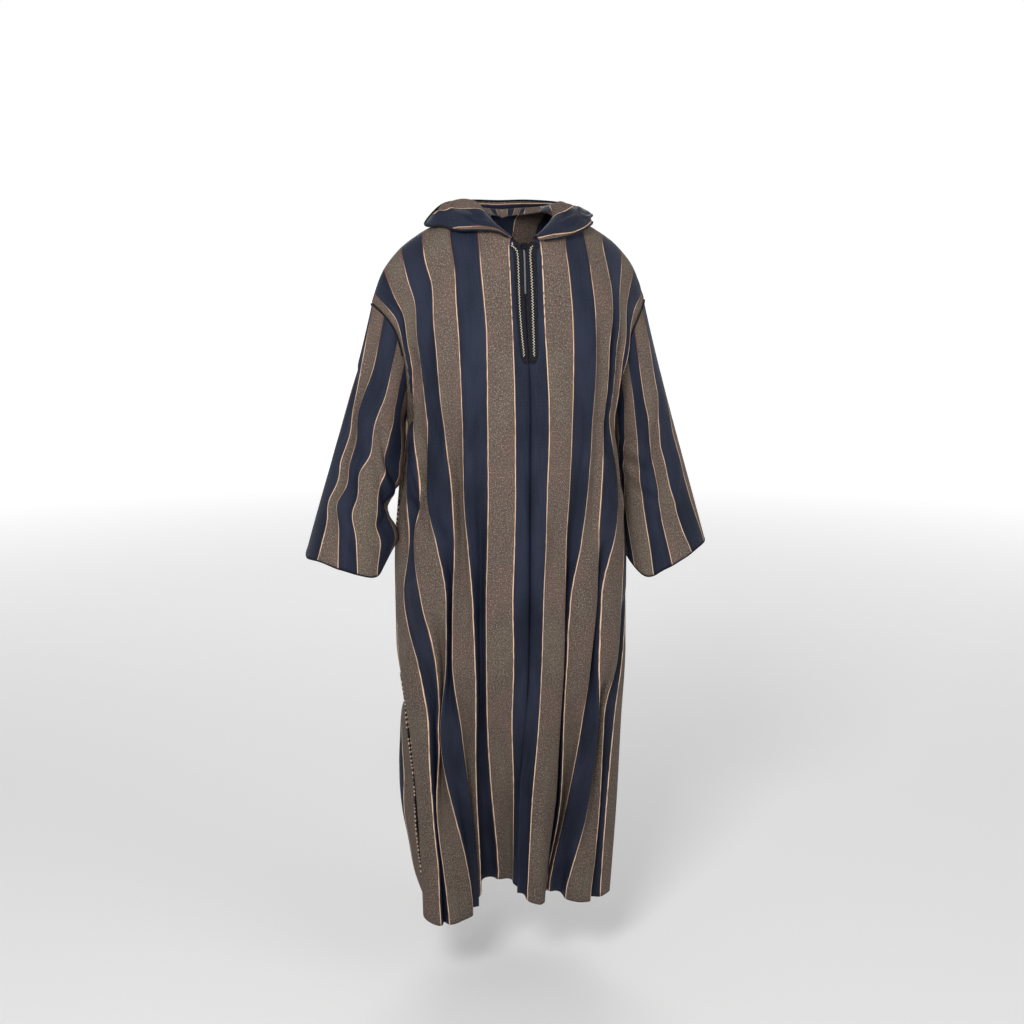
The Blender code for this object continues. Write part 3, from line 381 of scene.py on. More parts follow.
# side (0 the back), distance out at the top and at the hem, half width, height where it starts,
# depth at the hem (out is positive)
BROAD_FOLDS = (
    (-1, 60, 52, 42, 640, -58),  # hollow between the shins
    (-1, 200, 158, 46, 900, 34),  # pleat over the shin
    (1, 60, 40, 34, 700, 10),  # fold beside the centre
    (1, 90, 66, 24, 820, -30),  # hollow under the knee
    (1, 200, 140, 40, 900, 12),  # pleat at the side
    (0, -150, -130, 46, 1180, 16),  # five soft folds of the back
    (0, -72, -66, 34, 1120, -20),
    (0, 4, 8, 34, 1250, 14),
    (0, 78, 74, 36, 1150, -20),
    (0, 156, 140, 46, 1180, 16),
)
# cloth from the centre seam and hem height, for the right front, the left front and the back
HEM = {
    -1: (
        (0, 189), (26, 199), (76, 198), (104, 195), (116, 187), (124, 166), (140, 154),
        (174, 148), (200, 146), (272, 143), (320, 142), (350, 146), (370, 152),
    ),
    1: (
        (0, 189), (26, 174), (50, 162), (70, 159), (80, 163), (124, 174), (174, 171), (250, 154),
        (370, 148),
    ),
    0: ((0, 150), (120, 154), (250, 150), (370, 150)),
}


def part(value, low, high):
    """How far a value is on its way from low to high, from 0 to 1."""
    return np.clip((value - low) / (high - low), 0, 1)


def smooth(share):
    """A share from 0 to 1 with soft ends: 3 x^2 - 2 x^3."""
    return share * share * (3 - 2 * share)


def bell(value, middle, width):
    """A rounded hump, 1 at its middle: exp(-((value - middle) / width)^2)."""
    return np.exp(-(((value - middle) / width) ** 2))


def norm(vectors):
    """Length of each vector."""
    return np.linalg.norm(vectors, axis=-1, keepdims=True)


def unit(vectors):
    """Vectors of length 1."""
    return vectors / (norm(vectors) + 1e-9)


def lengths(lines):
    """Length along each line up to each of its points."""
    steps = norm(np.diff(lines, axis=-2))[..., 0]
    return np.concatenate([np.zeros(steps.shape[:-1] + (1,)), np.cumsum(steps, axis=-1)], -1)


def along_line(at, place, line):
    """Points at the given lengths along a line, where place holds the lengths of its own points."""
    return np.stack([np.interp(at, place, line[:, i]) for i in range(3)], -1)


def strip_of(places, at):
    """Between which two places each value lies, as the number of the first."""
    return np.clip(np.searchsorted(places, at, side="right") - 1, 0, len(places) - 2)


def cubic(t, start, end, leaving, arriving):
    """The cubic line from start to end, for t from 0 to 1, with the given reach at both ends."""
    return (
        (2 * t**3 - 3 * t**2 + 1) * start
        + (t**3 - 2 * t**2 + t) * leaving
        + (3 * t**2 - 2 * t**3) * end
        + (t**3 - t**2) * arriving
    )


def soft(at, places, values):
    """Values of a table read along a soft line that never overshoots its rows."""
    places = np.asarray(places, float)
    values = np.asarray(values, float).reshape(len(places), -1)
    if places[0] > places[-1]:
        places, values = places[::-1], values[::-1]
    rate = np.diff(values, axis=0) / np.diff(places)[:, None]
    both = rate[:-1] * rate[1:]
    inner = np.divide(2 * both, rate[:-1] + rate[1:], out=np.zeros_like(both), where=both > 0)
    slope = np.concatenate([rate[:1], inner, rate[-1:]])
    at = np.clip(np.atleast_1d(at), places[0], places[-1])
    i = strip_of(places, at)
    width = (places[i + 1] - places[i])[:, None]
    t = (at - places[i])[:, None] / width
    return cubic(t, values[i], values[i + 1], width * slope[i], width * slope[i + 1])


def column(at, table, index):
    """One column of a table whose first column is where each row stands."""
    return soft(at, [row[0] for row in table], [row[index] for row in table])


def hermite(start, end, leaving, arriving, count=241):
    """Cubic lines between two sets of points, leaving and arriving with the given reach."""
    t = np.linspace(0, 1, count)[None, :, None]
    return cubic(t, *(a[:, None] for a in (start, end, leaving, arriving)))


# cloth cut away along the rows to open the neck: share down, millimetres
NECK_OPEN = ((0.0, 0.1, 0.2, 0.28, 0.34, 0.375, 0.40, 1.0), (4, 10, 20, 24, 22, 11, 0, 0))


def row_ends(back):
    """Cloth from the centre line to the start and to the end of every row."""
    first, last = (column(SHARES, BACK_TOP if back else FRONT_TOP, i) for i in (4, 5))
    if not back:
        first = first + soft(SHARES, *NECK_OPEN)
    low = np.zeros((len(LOW_HEIGHTS), 1))
    return np.concatenate([np.concatenate([first, low]), np.concatenate([last, low + HALF_WIDTH])], 1)


def hung_rows(side, back):
    """Smooth lines that the rows of cloth hang along."""
    start, leaving, arriving = (column(SHARES, BACK_TOP if back else FRONT_TOP, i) for i in (1, 2, 3))
    upper = hermite(start, column(SHARES, ARMHOLE, 2 if back else 1), leaving, arriving)
    wanted = (1, 2, 3, 6, 7) if side > 0 and not back else (1, 2, 3, 4, 5)
    table = BACK_LOW if back else FRONT_LOW
    depth, turn, centre, half, edge = (column(LOW_HEIGHTS, table, i)[:, 0] for i in wanted)
    facing = 1 if back else -1
    none = 0 * half
    lower = hermite(
        np.stack([centre * side, facing * depth, LOW_HEIGHTS], -1),
        np.stack([half, edge, LOW_HEIGHTS], -1),
        np.stack([1.75 * half + 60, none, none], -1),
        np.stack([turn, -facing * 1.6 * (depth - facing * edge), none], -1),
    )
    if not back:
        trim = soft(SHARES, *NECK_OPEN)[:, 0]
        whole = lengths(upper)
        for i in np.flatnonzero(trim):
            kept = np.linspace(trim[i], whole[i, -1], upper.shape[1])
            upper[i] = along_line(kept, whole[i], upper[i])
    lines = np.concatenate([upper, lower])
    here = lengths(lines) * (side if back else 1)
    out = outward(lines, back)
    # no broad fold reaches higher than a few rows above the underarm
    below = (np.arange(len(lines)) >= len(SHARES) - 12)[:, None]
    for owner, upper_at, lower_at, width, starts, hem_depth in BROAD_FOLDS:
        if owner == (0 if back else side):
            grown = part(lines[:, :1, 2], starts, HEM_LEVEL) * below
            grown = (smooth(grown) + grown) / 2
            fold = bell(here, upper_at + (lower_at - upper_at) * grown, width)
            lines = lines + out * (hem_depth * grown * fold)[..., None]
    return lines


def outward(lines, back=False):
    """Level directions square to each row, away from the wearer; none where the row is steep."""
    along = np.gradient(lines, axis=-2)
    out = np.stack([along[..., 1], -along[..., 0], 0 * along[..., 0]], -1) * (-1 if back else 1)
    return unit(out) * np.clip(norm(out) / (norm(along) + 1e-9) * 1.5 - 0.3, 0, 1)


def eased(grid, across, down):
    """The grid with the given number of easing passes along its rows and down its columns."""
    for _ in range(across):
        grid[:, 1:-1] = (grid[:, :-2] + 2 * grid[:, 1:-1] + grid[:, 2:]) / 4
    for _ in range(down):
        grid[1:-1] = (grid[:-2] + 2 * grid[1:-1] + grid[2:]) / 4
    return grid


def spare(width, chord, t):
    """How far cloth of a width sinks over a shorter chord: sqrt(width^2 - chord^2), flat-topped."""
    return np.sqrt(np.maximum(width**2 - chord**2, 0)) * (1 - np.abs(2 * t - 1) ** 2.2)


def folded_row(line, out, knots, places, wanted, depth):
    """Points of a row of cloth whose knots hang at the given places; spare cloth sinks inwards."""
    place = lengths(line)
    strip = strip_of(knots, wanted)
    width, chord = np.diff(knots)[strip], np.diff(places)[strip]
    t = (wanted - knots[strip]) / width
    at = np.clip(places[strip] + chord * t, 0, place[-1])
    sink = FOLD_DEPTH * depth * spare(width, chord + 4, t)
    return along_line(at, place, line) - along_line(at, place, out) * sink[:, None]


def level_of(share, height):
    """Where a row stands between the levels of the band table."""
    tops = [level for level in LEVELS if level <= 1]
    if share < 1:
        return np.interp(share, tops, range(len(tops)))
    heights = [-1100.0] + [-level for level in LEVELS if level > 1]
    return np.interp(-height, heights, range(len(tops) - 1, len(LEVELS)))


def panel(side, back):
    """Middle surface of half the front or back: rows from the shoulder line down, columns out."""
    lines = hung_rows(side, back)
    out = outward(lines, back)
    shares = np.concatenate([SHARES, np.full(len(LOW_HEIGHTS), 2.0)])
    rows = []
    for line, away, (low, high), share, height in zip(lines, out, row_ends(back), shares, ROW_HEIGHTS):
        whole = lengths(line)[-1]
        knots = []
        if not back:
            level, trim = level_of(share, height), soft(share, *NECK_OPEN)[0, 0]
            for cloth, *places in BAND_EDGES[side]:
                place = soft(level, range(len(LEVELS)), places)[0, 0] - trim
                # a band edge that lies too near an end of the row is left out
                if low + 8 < cloth < high - 8 and 0 < place < whole - 5:
                    knots.append((cloth, place))
        knots = np.array([(low, 0.0)] + knots + [(high, whole)])
        if not back:
            # a strip of cloth shows at least 5 mm
            for i in range(1, len(knots)):
                knots[i, 1] = max(knots[i, 1], knots[i - 1, 1] + 5)
            knots[:, 1] *= whole / knots[-1, 1]
        wanted = low + (high - low) * COLUMNS / HALF_WIDTH
        depth = 0 if back else np.clip(share * 3 - 1, 0, 1)
        rows.append(folded_row(line, away, *knots.T, wanted, depth))
    grid = np.array(rows)
    rise = np.interp(COLUMNS, *zip(*HEM[0 if back else side])) - HEM_LEVEL
    low = grid[len(SHARES) :, :, 2]
    low += part(low, 700, HEM_LEVEL) * rise
    grid = eased(grid, 0 if back else 3, 4)
    grid[:, :, 0] *= side
    return grid


def square_to(grid, ring=False):
    """Directions square to a grid of points."""
    across = np.roll(grid, -1, 1) - np.roll(grid, 1, 1) if ring else np.gradient(grid, axis=1)
    return unit(np.cross(across, np.gradient(grid, axis=0)))


def build(name, points, faces, uv, material, nodes, layer="cloth"):
    """A smooth piece from millimetres above the ground; it rides on the root and stands for nodes."""
    mesh = bpy.data.meshes.new(name)
    placed = (np.asarray(points, float).reshape(-1, 3) - ORIGIN) / 1000
    mesh.from_pydata(placed.tolist(), [], faces)
    corner = np.empty(len(mesh.loops), np.int32)
    mesh.loops.foreach_get("vertex_index", corner)
    uv = np.asarray(uv).reshape(-1, 2)[corner] / 1000
    mesh.uv_layers.new(name=layer).data.foreach_set("uv", uv.ravel())
    mesh.polygons.foreach_set("use_smooth", np.ones(len(mesh.polygons), bool))
    mesh.materials.append(material)
    mesh.validate()
    piece = bpy.data.objects.new(name, mesh)
    bpy.context.scene.collection.objects.link(piece)
    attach(piece, "root")
    if nodes:
        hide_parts(*nodes)
    return piece


def shell_faces(rows, columns, ring=False, joined=None):
    """Faces of a sheet with two sides and closed edges; the second side's points follow the first's.

    From the row called joined on, the first column is left open, for another sheet to meet it.
    """
    wide = columns if ring else columns - 1
    r, c = np.meshgrid(np.arange(rows - 1), np.arange(wide), indexing="ij")
    a, b = (r * columns + c).ravel(), (r * columns + (c + 1) % columns).ravel()
    made = np.stack([a, b, b + columns, a + columns], -1)
    count, last = rows * columns, (rows - 1) * columns
    span = np.arange(wide)
    rims = [(span, (span + 1) % columns), ((span + 1) % columns + last, span + last)]
    if not ring:
        down = np.arange(rows - 1) * columns
        near = down[:joined]
        rims += [(near + columns, near), (down + columns - 1, down + 2 * columns - 1)]
    closing = np.concatenate([np.stack([q, p, p + count, q + count], -1) for p, q in rims])
    return np.concatenate([made, made[:, ::-1] + count, closing])


def cloth_shell(name, sheets, nodes, ring=False, thickness=CLOTH, joined=None, dent=(0, 0)):
    """Sheets of (grid, uv, facing) as one cloth with two sides and closed edges.

    From the row called joined on, the first columns of the sheets are one line of cloth. The dent
    is how far a seam draws in the first and the last column.
    """
    ways = [square_to(grid, ring) * facing for grid, _, facing in sheets]
    if joined is not None:
        middle = unit(sum(way[joined:, 0] for way in ways))
        for way in ways:
            way[joined:, 0] = middle
    points, uvs, faces, base = [], [], [], 0
    for (grid, uv, facing), way in zip(sheets, ways):
        grid = grid.copy()
        for edge, near, deep in ((0, 1, dent[0]), (-1, -2, dent[1])):
            grid[:, edge] -= way[:, edge] * deep
            grid[:, near] -= way[:, near] * deep * 0.3
        faces.append(shell_faces(*grid.shape[:2], ring, joined)[:, ::facing] + base)
        for side in (1, -1):
            points.append((grid + side * way * thickness / 2).reshape(-1, 3))
            uvs.append(uv.reshape(-1, 2))
            base += len(points[-1])
    points, uvs, faces = (np.concatenate(parts) for parts in (points, uvs, faces))
    piece = build(name, points, faces.tolist(), uvs, CLOTH_MATERIAL, nodes)
    if joined is not None:
        form = bmesh.new()
        form.from_mesh(piece.data)
        bmesh.ops.remove_doubles(form, verts=form.verts, dist=1e-6)
        form.to_mesh(piece.data)
        form.free()
    return piece


def woven(grid, across):
    """The u and v of a grid's points: the given cloth across, and the mean length down."""
    down = lengths(np.swapaxes(grid, 0, 1)).mean(0)
    return np.stack(np.broadcast_arrays(across[None, :], down[:, None]), -1)


def leaning(points):
    """The neck opening sits a little to the wearer's right of the middle."""
    points[..., 0] -= 8 * smooth(part(points[..., 2], 1130, 1330)) * bell(points[..., 0], 0, 26)
    return points


fronts = {side: leaning(panel(side, False)) for side in (-1, 1)}
backs = {side: panel(side, True) for side in (-1, 1)}
# side (0 the back), cloth from the centre, height, lean from level in degrees, half length, half
# width, depth (out is positive)
CREASES = (
    (-1, 292, 990, 64, 80, 9, -7),  # under the arm, towards the waist
    (-1, 268, 985, 58, 60, 7, 5),
    (-1, 250, 930, 68, 70, 8, -5),
    (-1, 108, 1010, 89, 190, 8, 3),  # long soft ridges
    (-1, 92, 960, 91, 170, 8, -3),
    (-1, 330, 880, 80, 90, 8, -5),
    (-1, 345, 740, 100, 110, 9, -4),
    (-1, 300, 620, 76, 120, 9, 4),
    (-1, 52, 520, 88, 160, 10, -3),
    (-1, 60, 330, 92, 120, 9, 3),
    (1, 300, 1010, -64, 70, 9, -6),
    (1, 262, 960, -70, 70, 8, 5),
    (1, 108, 1080, 88, 150, 9, -3),
    (1, 150, 900, 94, 170, 9, 3),
    (1, 330, 820, 96, 110, 9, -4),
    (1, 50, 560, 92, 150, 9, -3),
    (1, 250, 560, 84, 130, 9, -4),
    (1, 40, 300, 88, 100, 9, 3),
    (0, 230, 1000, 66, 90, 10, -6),
    (0, -230, 1000, -66, 90, 10, -6),
    (0, 200, 930, 70, 90, 9, 5),
    (0, -200, 930, -70, 90, 9, 5),
    (0, 90, 620, 86, 160, 12, -4),
    (0, -110, 560, 95, 150, 12, -4),
    (0, 20, 780, 92, 150, 12, 3),
)


def creased(grid, side, back):
    """The panel with single creases, fine upright ripples and a seam drawn in at the centre.

    crease = depth * exp(-(along / half length)^2 - (across / half width)^2)
    """
    owner = 0 if back else side
    cloth = np.broadcast_to(COLUMNS * (side if back else 1), grid.shape[:2])
    height = grid[..., 2]
    sunk = np.zeros(height.shape)
    for holder, middle, level, lean, long, wide, depth in CREASES:
        if holder == owner:
            turn = math.radians(lean)
            along = (cloth - middle) * math.cos(turn) + (height - level) * math.sin(turn)
            over = (height - level) * math.cos(turn) - (cloth - middle) * math.sin(turn)
            sunk = sunk + depth * bell(along, 0, long) * bell(over, 0, wide)
    shifted = cloth + 40 * owner
    fine = np.sin(shifted / 5.6 + 1.7 * np.sin(height / 150 + owner))
    fine = fine * (0.4 + 0.4 * np.sin(height / 90 + shifted / 35))
    fine = fine + 1.2 * np.sin(shifted / 12 + 1.2 * np.sin(height / 240 + 2 * owner))
    low = part(height, 1230, 1080)
    sunk = sunk + fine * (0.25 + low * (0.55 + 0.35 * part(height, 1000, 200)))
    sunk = sunk * part(COLUMNS, HALF_WIDTH, HALF_WIDTH - 14) * part(COLUMNS - 22 * (1 - low), 3, 19)
    if not back:
        sunk = sunk - low * (5.0 + 3.5 * np.sin(height / 190) ** 2) * bell(COLUMNS, 0, 7)
    return grid + square_to(grid) * (side if back else -side) * sunk[..., None]


fronts = {side: creased(fronts[side], side, False) for side in (-1, 1)}
backs = {side: creased(backs[side], side, True) for side in (-1, 1)}
# the back shows beyond the right vent: it rounds out behind its edge, and the front stays further
# in; heights, then how far it stands out there
STANDS_OUT = (
    (100, 212, 275, 330, 370, 415, 469, 524, 578, 625, 660),
    (5, 34, 38, 44, 46, 43, 32, 20, -5, -3, 0),
)
height = backs[-1][..., 2]
reach = soft(height.ravel(), *STANDS_OUT).reshape(height.shape)
backs[-1][..., 0] -= reach * bell(COLUMNS, 305 - 22 * bell(height, 405, 75), 62)
fronts[-1][..., 0] += 8 * part(fronts[-1][..., 2], 640, 490) * part(COLUMNS, 305, HALF_WIDTH)
# rows near the shoulder line that are rounded over it, and how much of it each point takes
OVER = 10
rounding = np.clip(1.4 - 1.4 * np.abs(np.linspace(-1, 1, 2 * OVER - 1)), 0, 1)[:, None]
rounding = (rounding * part(COLUMNS, HALF_WIDTH, HALF_WIDTH - 30))[..., None]
for side in (-1, 1):
    front, rear = fronts[side], backs[side]
    closed = ROW_HEIGHTS >= VENT_HEIGHT
    edge = (front[closed, -1] + rear[closed, -1]) / 2
    edge[:UNDERARM] = front[:UNDERARM, -1]
    front[closed, -1] = edge
    rear[np.flatnonzero(closed)[UNDERARM:], -1] = edge[UNDERARM:]
    rear[0] = front[0]
    # the hand slit in the side seam stands a little open
    gape = 4.5 * np.sqrt(np.sin(part(ROW_HEIGHTS, *SLIT) * np.pi))
    for grid, way in ((front, -1), (rear, 1)):
        for k, share in ((-1, 1.0), (-2, 0.6), (-3, 0.25)):
            grid[:, k, 1] += way * gape * share
    # the cloth runs over the shoulder in one round line
    over = np.concatenate([rear[OVER - 1 : 0 : -1], front[:OVER]])
    over = eased(over.copy(), 0, 16) * rounding + over * (1 - rounding)
    front[:OVER], rear[:OVER] = over[OVER - 1 :], over[OVER - 1 :: -1]
# each long panel stands for four solids
LENGTHS = ("chest", "waist", "thigh", "hem")


def row_cloth(back):
    """The cloth at the start and the end of every row, eased as the rows are."""
    return eased(row_ends(back)[:, :, None], 0, 4)[..., 0]


def laid_out(grid, back):
    """The u and v of half a panel."""
    uv = woven(grid, COLUMNS)
    ends = row_cloth(back)
    uv[..., 0] = ends[:, :1] + np.diff(ends, axis=1) * COLUMNS / HALF_WIDTH
    return uv


for side, name in SIDES:
    sheet = (fronts[side], laid_out(fronts[side], False), -side)
    nodes = ["front_" + name + "_" + length for length in LENGTHS]
    piece = cloth_shell("front_" + name, [sheet], nodes, dent=(1.6, 1.0))

# ================================================================ back panel
# One wide panel with no seam, cut like the fronts but closed up to the neck; the hood hides its top.
NECK_ROW = int(np.searchsorted(SHARES, 0.2))
halves = [(backs[side], laid_out(backs[side], True), side) for side in (-1, 1)]
for grid, _, _ in halves:
    grid[NECK_ROW:, 0, 0] = 0
nodes = ["back_" + length for length in LENGTHS]
piece = cloth_shell("back", halves, nodes, joined=NECK_ROW, dent=(0, 1.0))

# ================================================================ sleeves
# Wide straight sleeves set on dropped armholes, one tube of cloth each, with the bands running
# down them; the spare cloth breaks into slanting creases at the elbow.
CUFF_CENTRE = (312, 10, 853)
CUFF_OUT = (84, 0, -4)
CUFF_FORWARD = (0, -64, -33)
# degrees round the cuff from the outer side forwards, how far its edge is lifted
CUFF_RISE = {
    -1: (
        (0, 0), (45, 20), (90, 5), (125, -10), (150, 14), (180, 30), (220, 10), (270, 0), (320, 0),
        (360, 0),
    ),
    1: (
        (0, 0), (45, 12), (75, 0), (102, -22), (128, -44), (152, -32), (180, -16), (220, -6),
        (270, 0), (360, 0),
    ),
}
SLEEVE_LEVELS = (0.0, 0.2, 0.4, 0.6, 0.8, 1.0)
# cloth from the top line of the arm, forwards, then the place round the arm at each level
SLEEVE_EDGES = {
    -1: (
        (-106, -100, -92, -58, -66, -68, -74),
        (-56, -50, -42, -10, -19, -20, -26),
        (-8, 4, 8, 15, 29, 38, 42),
        (42, 42, 46, 34, 49, 62, 86),
        (90, 92, 96, 82, 80, 96, 122),
        (140, 142, 146, 132, 128, 146, 170),
        (188, 190, 194, 180, 174, 194, 216),
    ),
    1: (
        (-68, -70, -58, -36, -16, -12, -20),
        (-18, -20, -8, 14, 34, 38, 30),
        (30, 30, 42, 62, 82, 86, 78),
        (80, 78, 98, 107, 112, 123, 128),
        (128, 127, 144, 152, 156, 160, 168),
        (178, 176, 192, 200, 203, 207, 216),
    ),
}
# side, turn round the sleeve (degrees, 0 outwards, 90 in front), place down it, half width
# (degrees, share of the length), slant (degrees over the length), depth
SLEEVE_FOLDS = (
    (-1, 120, 0.46, 46, 0.09, 60, -9),  # upper and lower elbow creases
    (-1, 70, 0.66, 40, 0.08, -40, -8),
    (-1, 40, 0.35, 26, 0.30, 10, -6),  # hollow on the outside
    (-1, 88, 0.80, 22, 0.25, 0, 6),  # fold at the front
    (-1, 250, 0.60, 34, 0.40, 0, 8),  # fold at the back
    (1, 96, 0.62, 22, 0.40, 8, -9),  # long folds in front and outside
    (1, 48, 0.55, 24, 0.40, -6, -6),
    (1, 140, 0.50, 40, 0.08, 40, -7),  # elbow crease
    (1, 250, 0.60, 34, 0.40, 0, 8),
)
# height, how far the inner side stands towards the body
SLEEVE_INNER = {
    -1: (
        (1135, 0), (1105, 8), (1075, 17), (1045, 21), (1005, 20), (980, 12), (952, -10), (925, -13),
        (900, 1), (882, 6), (855, -4), (830, -12),
    ),
    1: ((1135, 0), (1095, 9), (1050, 13), (1000, 12), (950, 6), (900, 4), (860, 2), (830, 0)),
}
# side, turn, place down, half width (degrees, share), rise of place with turn, depth
SLEEVE_CREASES = (
    (-1, 128, 0.50, 40, 0.030, 0.0028, -6),
    (-1, 136, 0.58, 36, 0.028, 0.0030, 5),
    (-1, 140, 0.66, 40, 0.030, 0.0026, -7),
    (-1, 118, 0.76, 30, 0.030, -0.0020, -5),
    (-1, 84, 0.40, 26, 0.032, -0.0030, -5),
    (-1, 62, 0.52, 30, 0.034, -0.0034, -5),
    (-1, 58, 0.70, 24, 0.030, 0.0036, -4),
    (-1, 96, 0.24, 24, 0.036, -0.0034, -4),
    (-1, 74, 0.86, 20, 0.030, 0.0030, 3),
    (1, 128, 0.34, 34, 0.028, -0.0030, -5),
    (1, 122, 0.42, 34, 0.026, -0.0034, 4),
    (1, 124, 0.50, 36, 0.028, -0.0036, -6),
    (1, 118, 0.58, 34, 0.026, -0.0034, 4),
    (1, 112, 0.66, 30, 0.028, -0.0032, -5),
    (1, 66, 0.46, 24, 0.034, 0.0030, -4),
    (1, 84, 0.84, 26, 0.030, -0.0034, -4),
    (1, 52, 0.72, 22, 0.030, 0.0030, 3),
    (-1, 250, 0.5, 50, 0.034, 0.0016, -5),
    (1, 250, 0.5, 50, 0.034, -0.0016, -5),
    (-1, 230, 0.62, 44, 0.032, 0.0016, -5),
    (1, 230, 0.62, 44, 0.032, -0.0016, -5),
)
# side, place down, half height (shares), how far the bands step round the arm where it creases
SLEEVE_KINKS = (
    (-1, 0.50, 0.055, 9),
    (-1, 0.62, 0.045, -7),
    (-1, 0.77, 0.05, -13),
    (1, 0.36, 0.05, -6),
    (1, 0.52, 0.04, 6),
)
RING_SHARES = np.linspace(0, 1, 61)
SLEEVE_ROWS = 96
HALF_ROUND = 280
SLEEVE_FOLD_DEPTH = 0.36
CREASE_DEPTH = 1.35
# cloth from the top line of the arm to where the bands are counted from
SLEEVE_START = {-1: 34, 1: -4}


def sleeve(side):
    """Rings of a sleeve from the armhole to the cuff, with the cloth's place round the arm."""
    front, back = (column(RING_SHARES, ARMHOLE, i) for i in (1, 2))
    ring = np.concatenate([front, back[-2:0:-1]])
    count = len(ring)
    turn = 2 * np.pi * np.arange(count) / count
    reach = np.cos(turn)[:, None] * CUFF_OUT + np.sin(turn)[:, None] * CUFF_FORWARD
    reach[:, 2] += soft(np.degrees(turn), *zip(*CUFF_RISE[side]))[:, 0]
    cuff = np.array(CUFF_CENTRE) + reach
    inner = (1 - np.cos(turn))[:, None] / 2
    out = np.array((1, 0, 0))
    leaving = (cuff - ring) * 0.9 + out * (110 * inner - 20 * (1 - inner))
    arriving = cuff - ring - out * (10 * inner)
    rings = np.swapaxes(hermite(ring, cuff, leaving, arriving, SLEEVE_ROWS), 0, 1)
    down = np.linspace(0, 1, SLEEVE_ROWS)
    axis = (ring.mean(0) + (cuff.mean(0) - ring.mean(0)) * down[:, None])[:, None]
    away = unit((rings - axis) * (1, 1, 0.2))
    cloth = np.arange(-HALF_ROUND, HALF_ROUND, 3.5)
    made = []
    for t, line, normal in zip(down, rings, away):
        line, normal = (np.concatenate([a, a, a[:1]]) for a in (line, normal))
        around = lengths(line[: count + 1])[-1]
        place = lengths(line) - around
        low = np.searchsorted(place, -around / 2) - 1
        place, line, normal = (a[low : low + count + 2] for a in (place, line, normal))
        knots = [(row[0], soft(t, SLEEVE_LEVELS, row[1:])[0, 0]) for row in SLEEVE_EDGES[side]]
        knots = np.array([(-HALF_ROUND, -around / 2)] + knots + [(HALF_ROUND, around / 2)])
        strip = strip_of(knots[:, 0], cloth)
        width, chord = np.diff(knots, axis=0)[strip].T
        share = (cloth - knots[strip, 0]) / width
        at = knots[strip, 1] + chord * share
        sink = SLEEVE_FOLD_DEPTH * spare(width, chord + 6, share) * min(1, t * 4) * (1 - 0.5 * t)
        sink[(strip == 0) | (strip == len(knots) - 2)] = 0
        step = sum(kink[3] * bell(t, *kink[1:3]) for kink in SLEEVE_KINKS if kink[0] == side)
        at = at + step * bell(at, 65, 75)
        points, ways = along_line(at, place, line), along_line(at, place, normal)
        degrees = at / around * 360
        for owner, middle, level, wide, tall, slant, depth in SLEEVE_FOLDS:
            off = (degrees - middle - slant * (t - level) + 180) % 360 - 180
            fold = (owner == side) * depth * bell(off, 0, wide) * bell(t, level, tall)
            sink = sink - fold * min(1, t * 5) * min(1, (1 - t) * 6 + 0.25)
        for owner, middle, level, wide, tall, rise, depth in SLEEVE_CREASES:
            off = (degrees - middle + 180) % 360 - 180
            fold = (owner == side) * depth * bell(off, 0, wide) * bell(t, level + rise * off, tall)
            sink = sink - CREASE_DEPTH * fold * min(1, t * 6) * min(1, (1 - t) * 8 + 0.2)
        points = points - ways * sink[:, None]
        towards = soft(points[:, 2], *zip(*SLEEVE_INNER[side]))[:, 0]
        towards = towards * np.clip(-ways[:, 0], 0, 1) ** 1.5
        points = points - np.stack([towards, 0.6 * np.abs(towards), 0 * towards], -1) * min(1, t * 6)
        made.append(points)
    grid = np.array(made)
    for _ in range(3):
        grid = (np.roll(grid, 1, 1) + 2 * grid + np.roll(grid, -1, 1)) / 4
    grid = eased(grid, 0, 3)
    grid[:, :, 0] *= side
    return grid, cloth


sleeves = {}
for side, name in SIDES:
    grid, cloth = sleeve(side)
    uv = woven(grid, cloth + SLEEVE_START[side] + 5 * BAND)
    piece = cloth_shell("sleeve_" + name, [(grid, uv, -side)], ["sleeve_" + name], ring=True)
    sleeves[side] = grid

# ================================================================ hood
# A deep hood lying open on the shoulders, cut from the same cloth with its bands along the face
# edge; it has collapsed, so that its inner side shows at both sides of the neck.
surfaces = {(side, 0): (fronts[side], square_to(fronts[side]) * -side) for side in (-1, 1)}
surfaces.update({(side, 1): (backs[side], square_to(backs[side]) * side) for side in (-1, 1)})
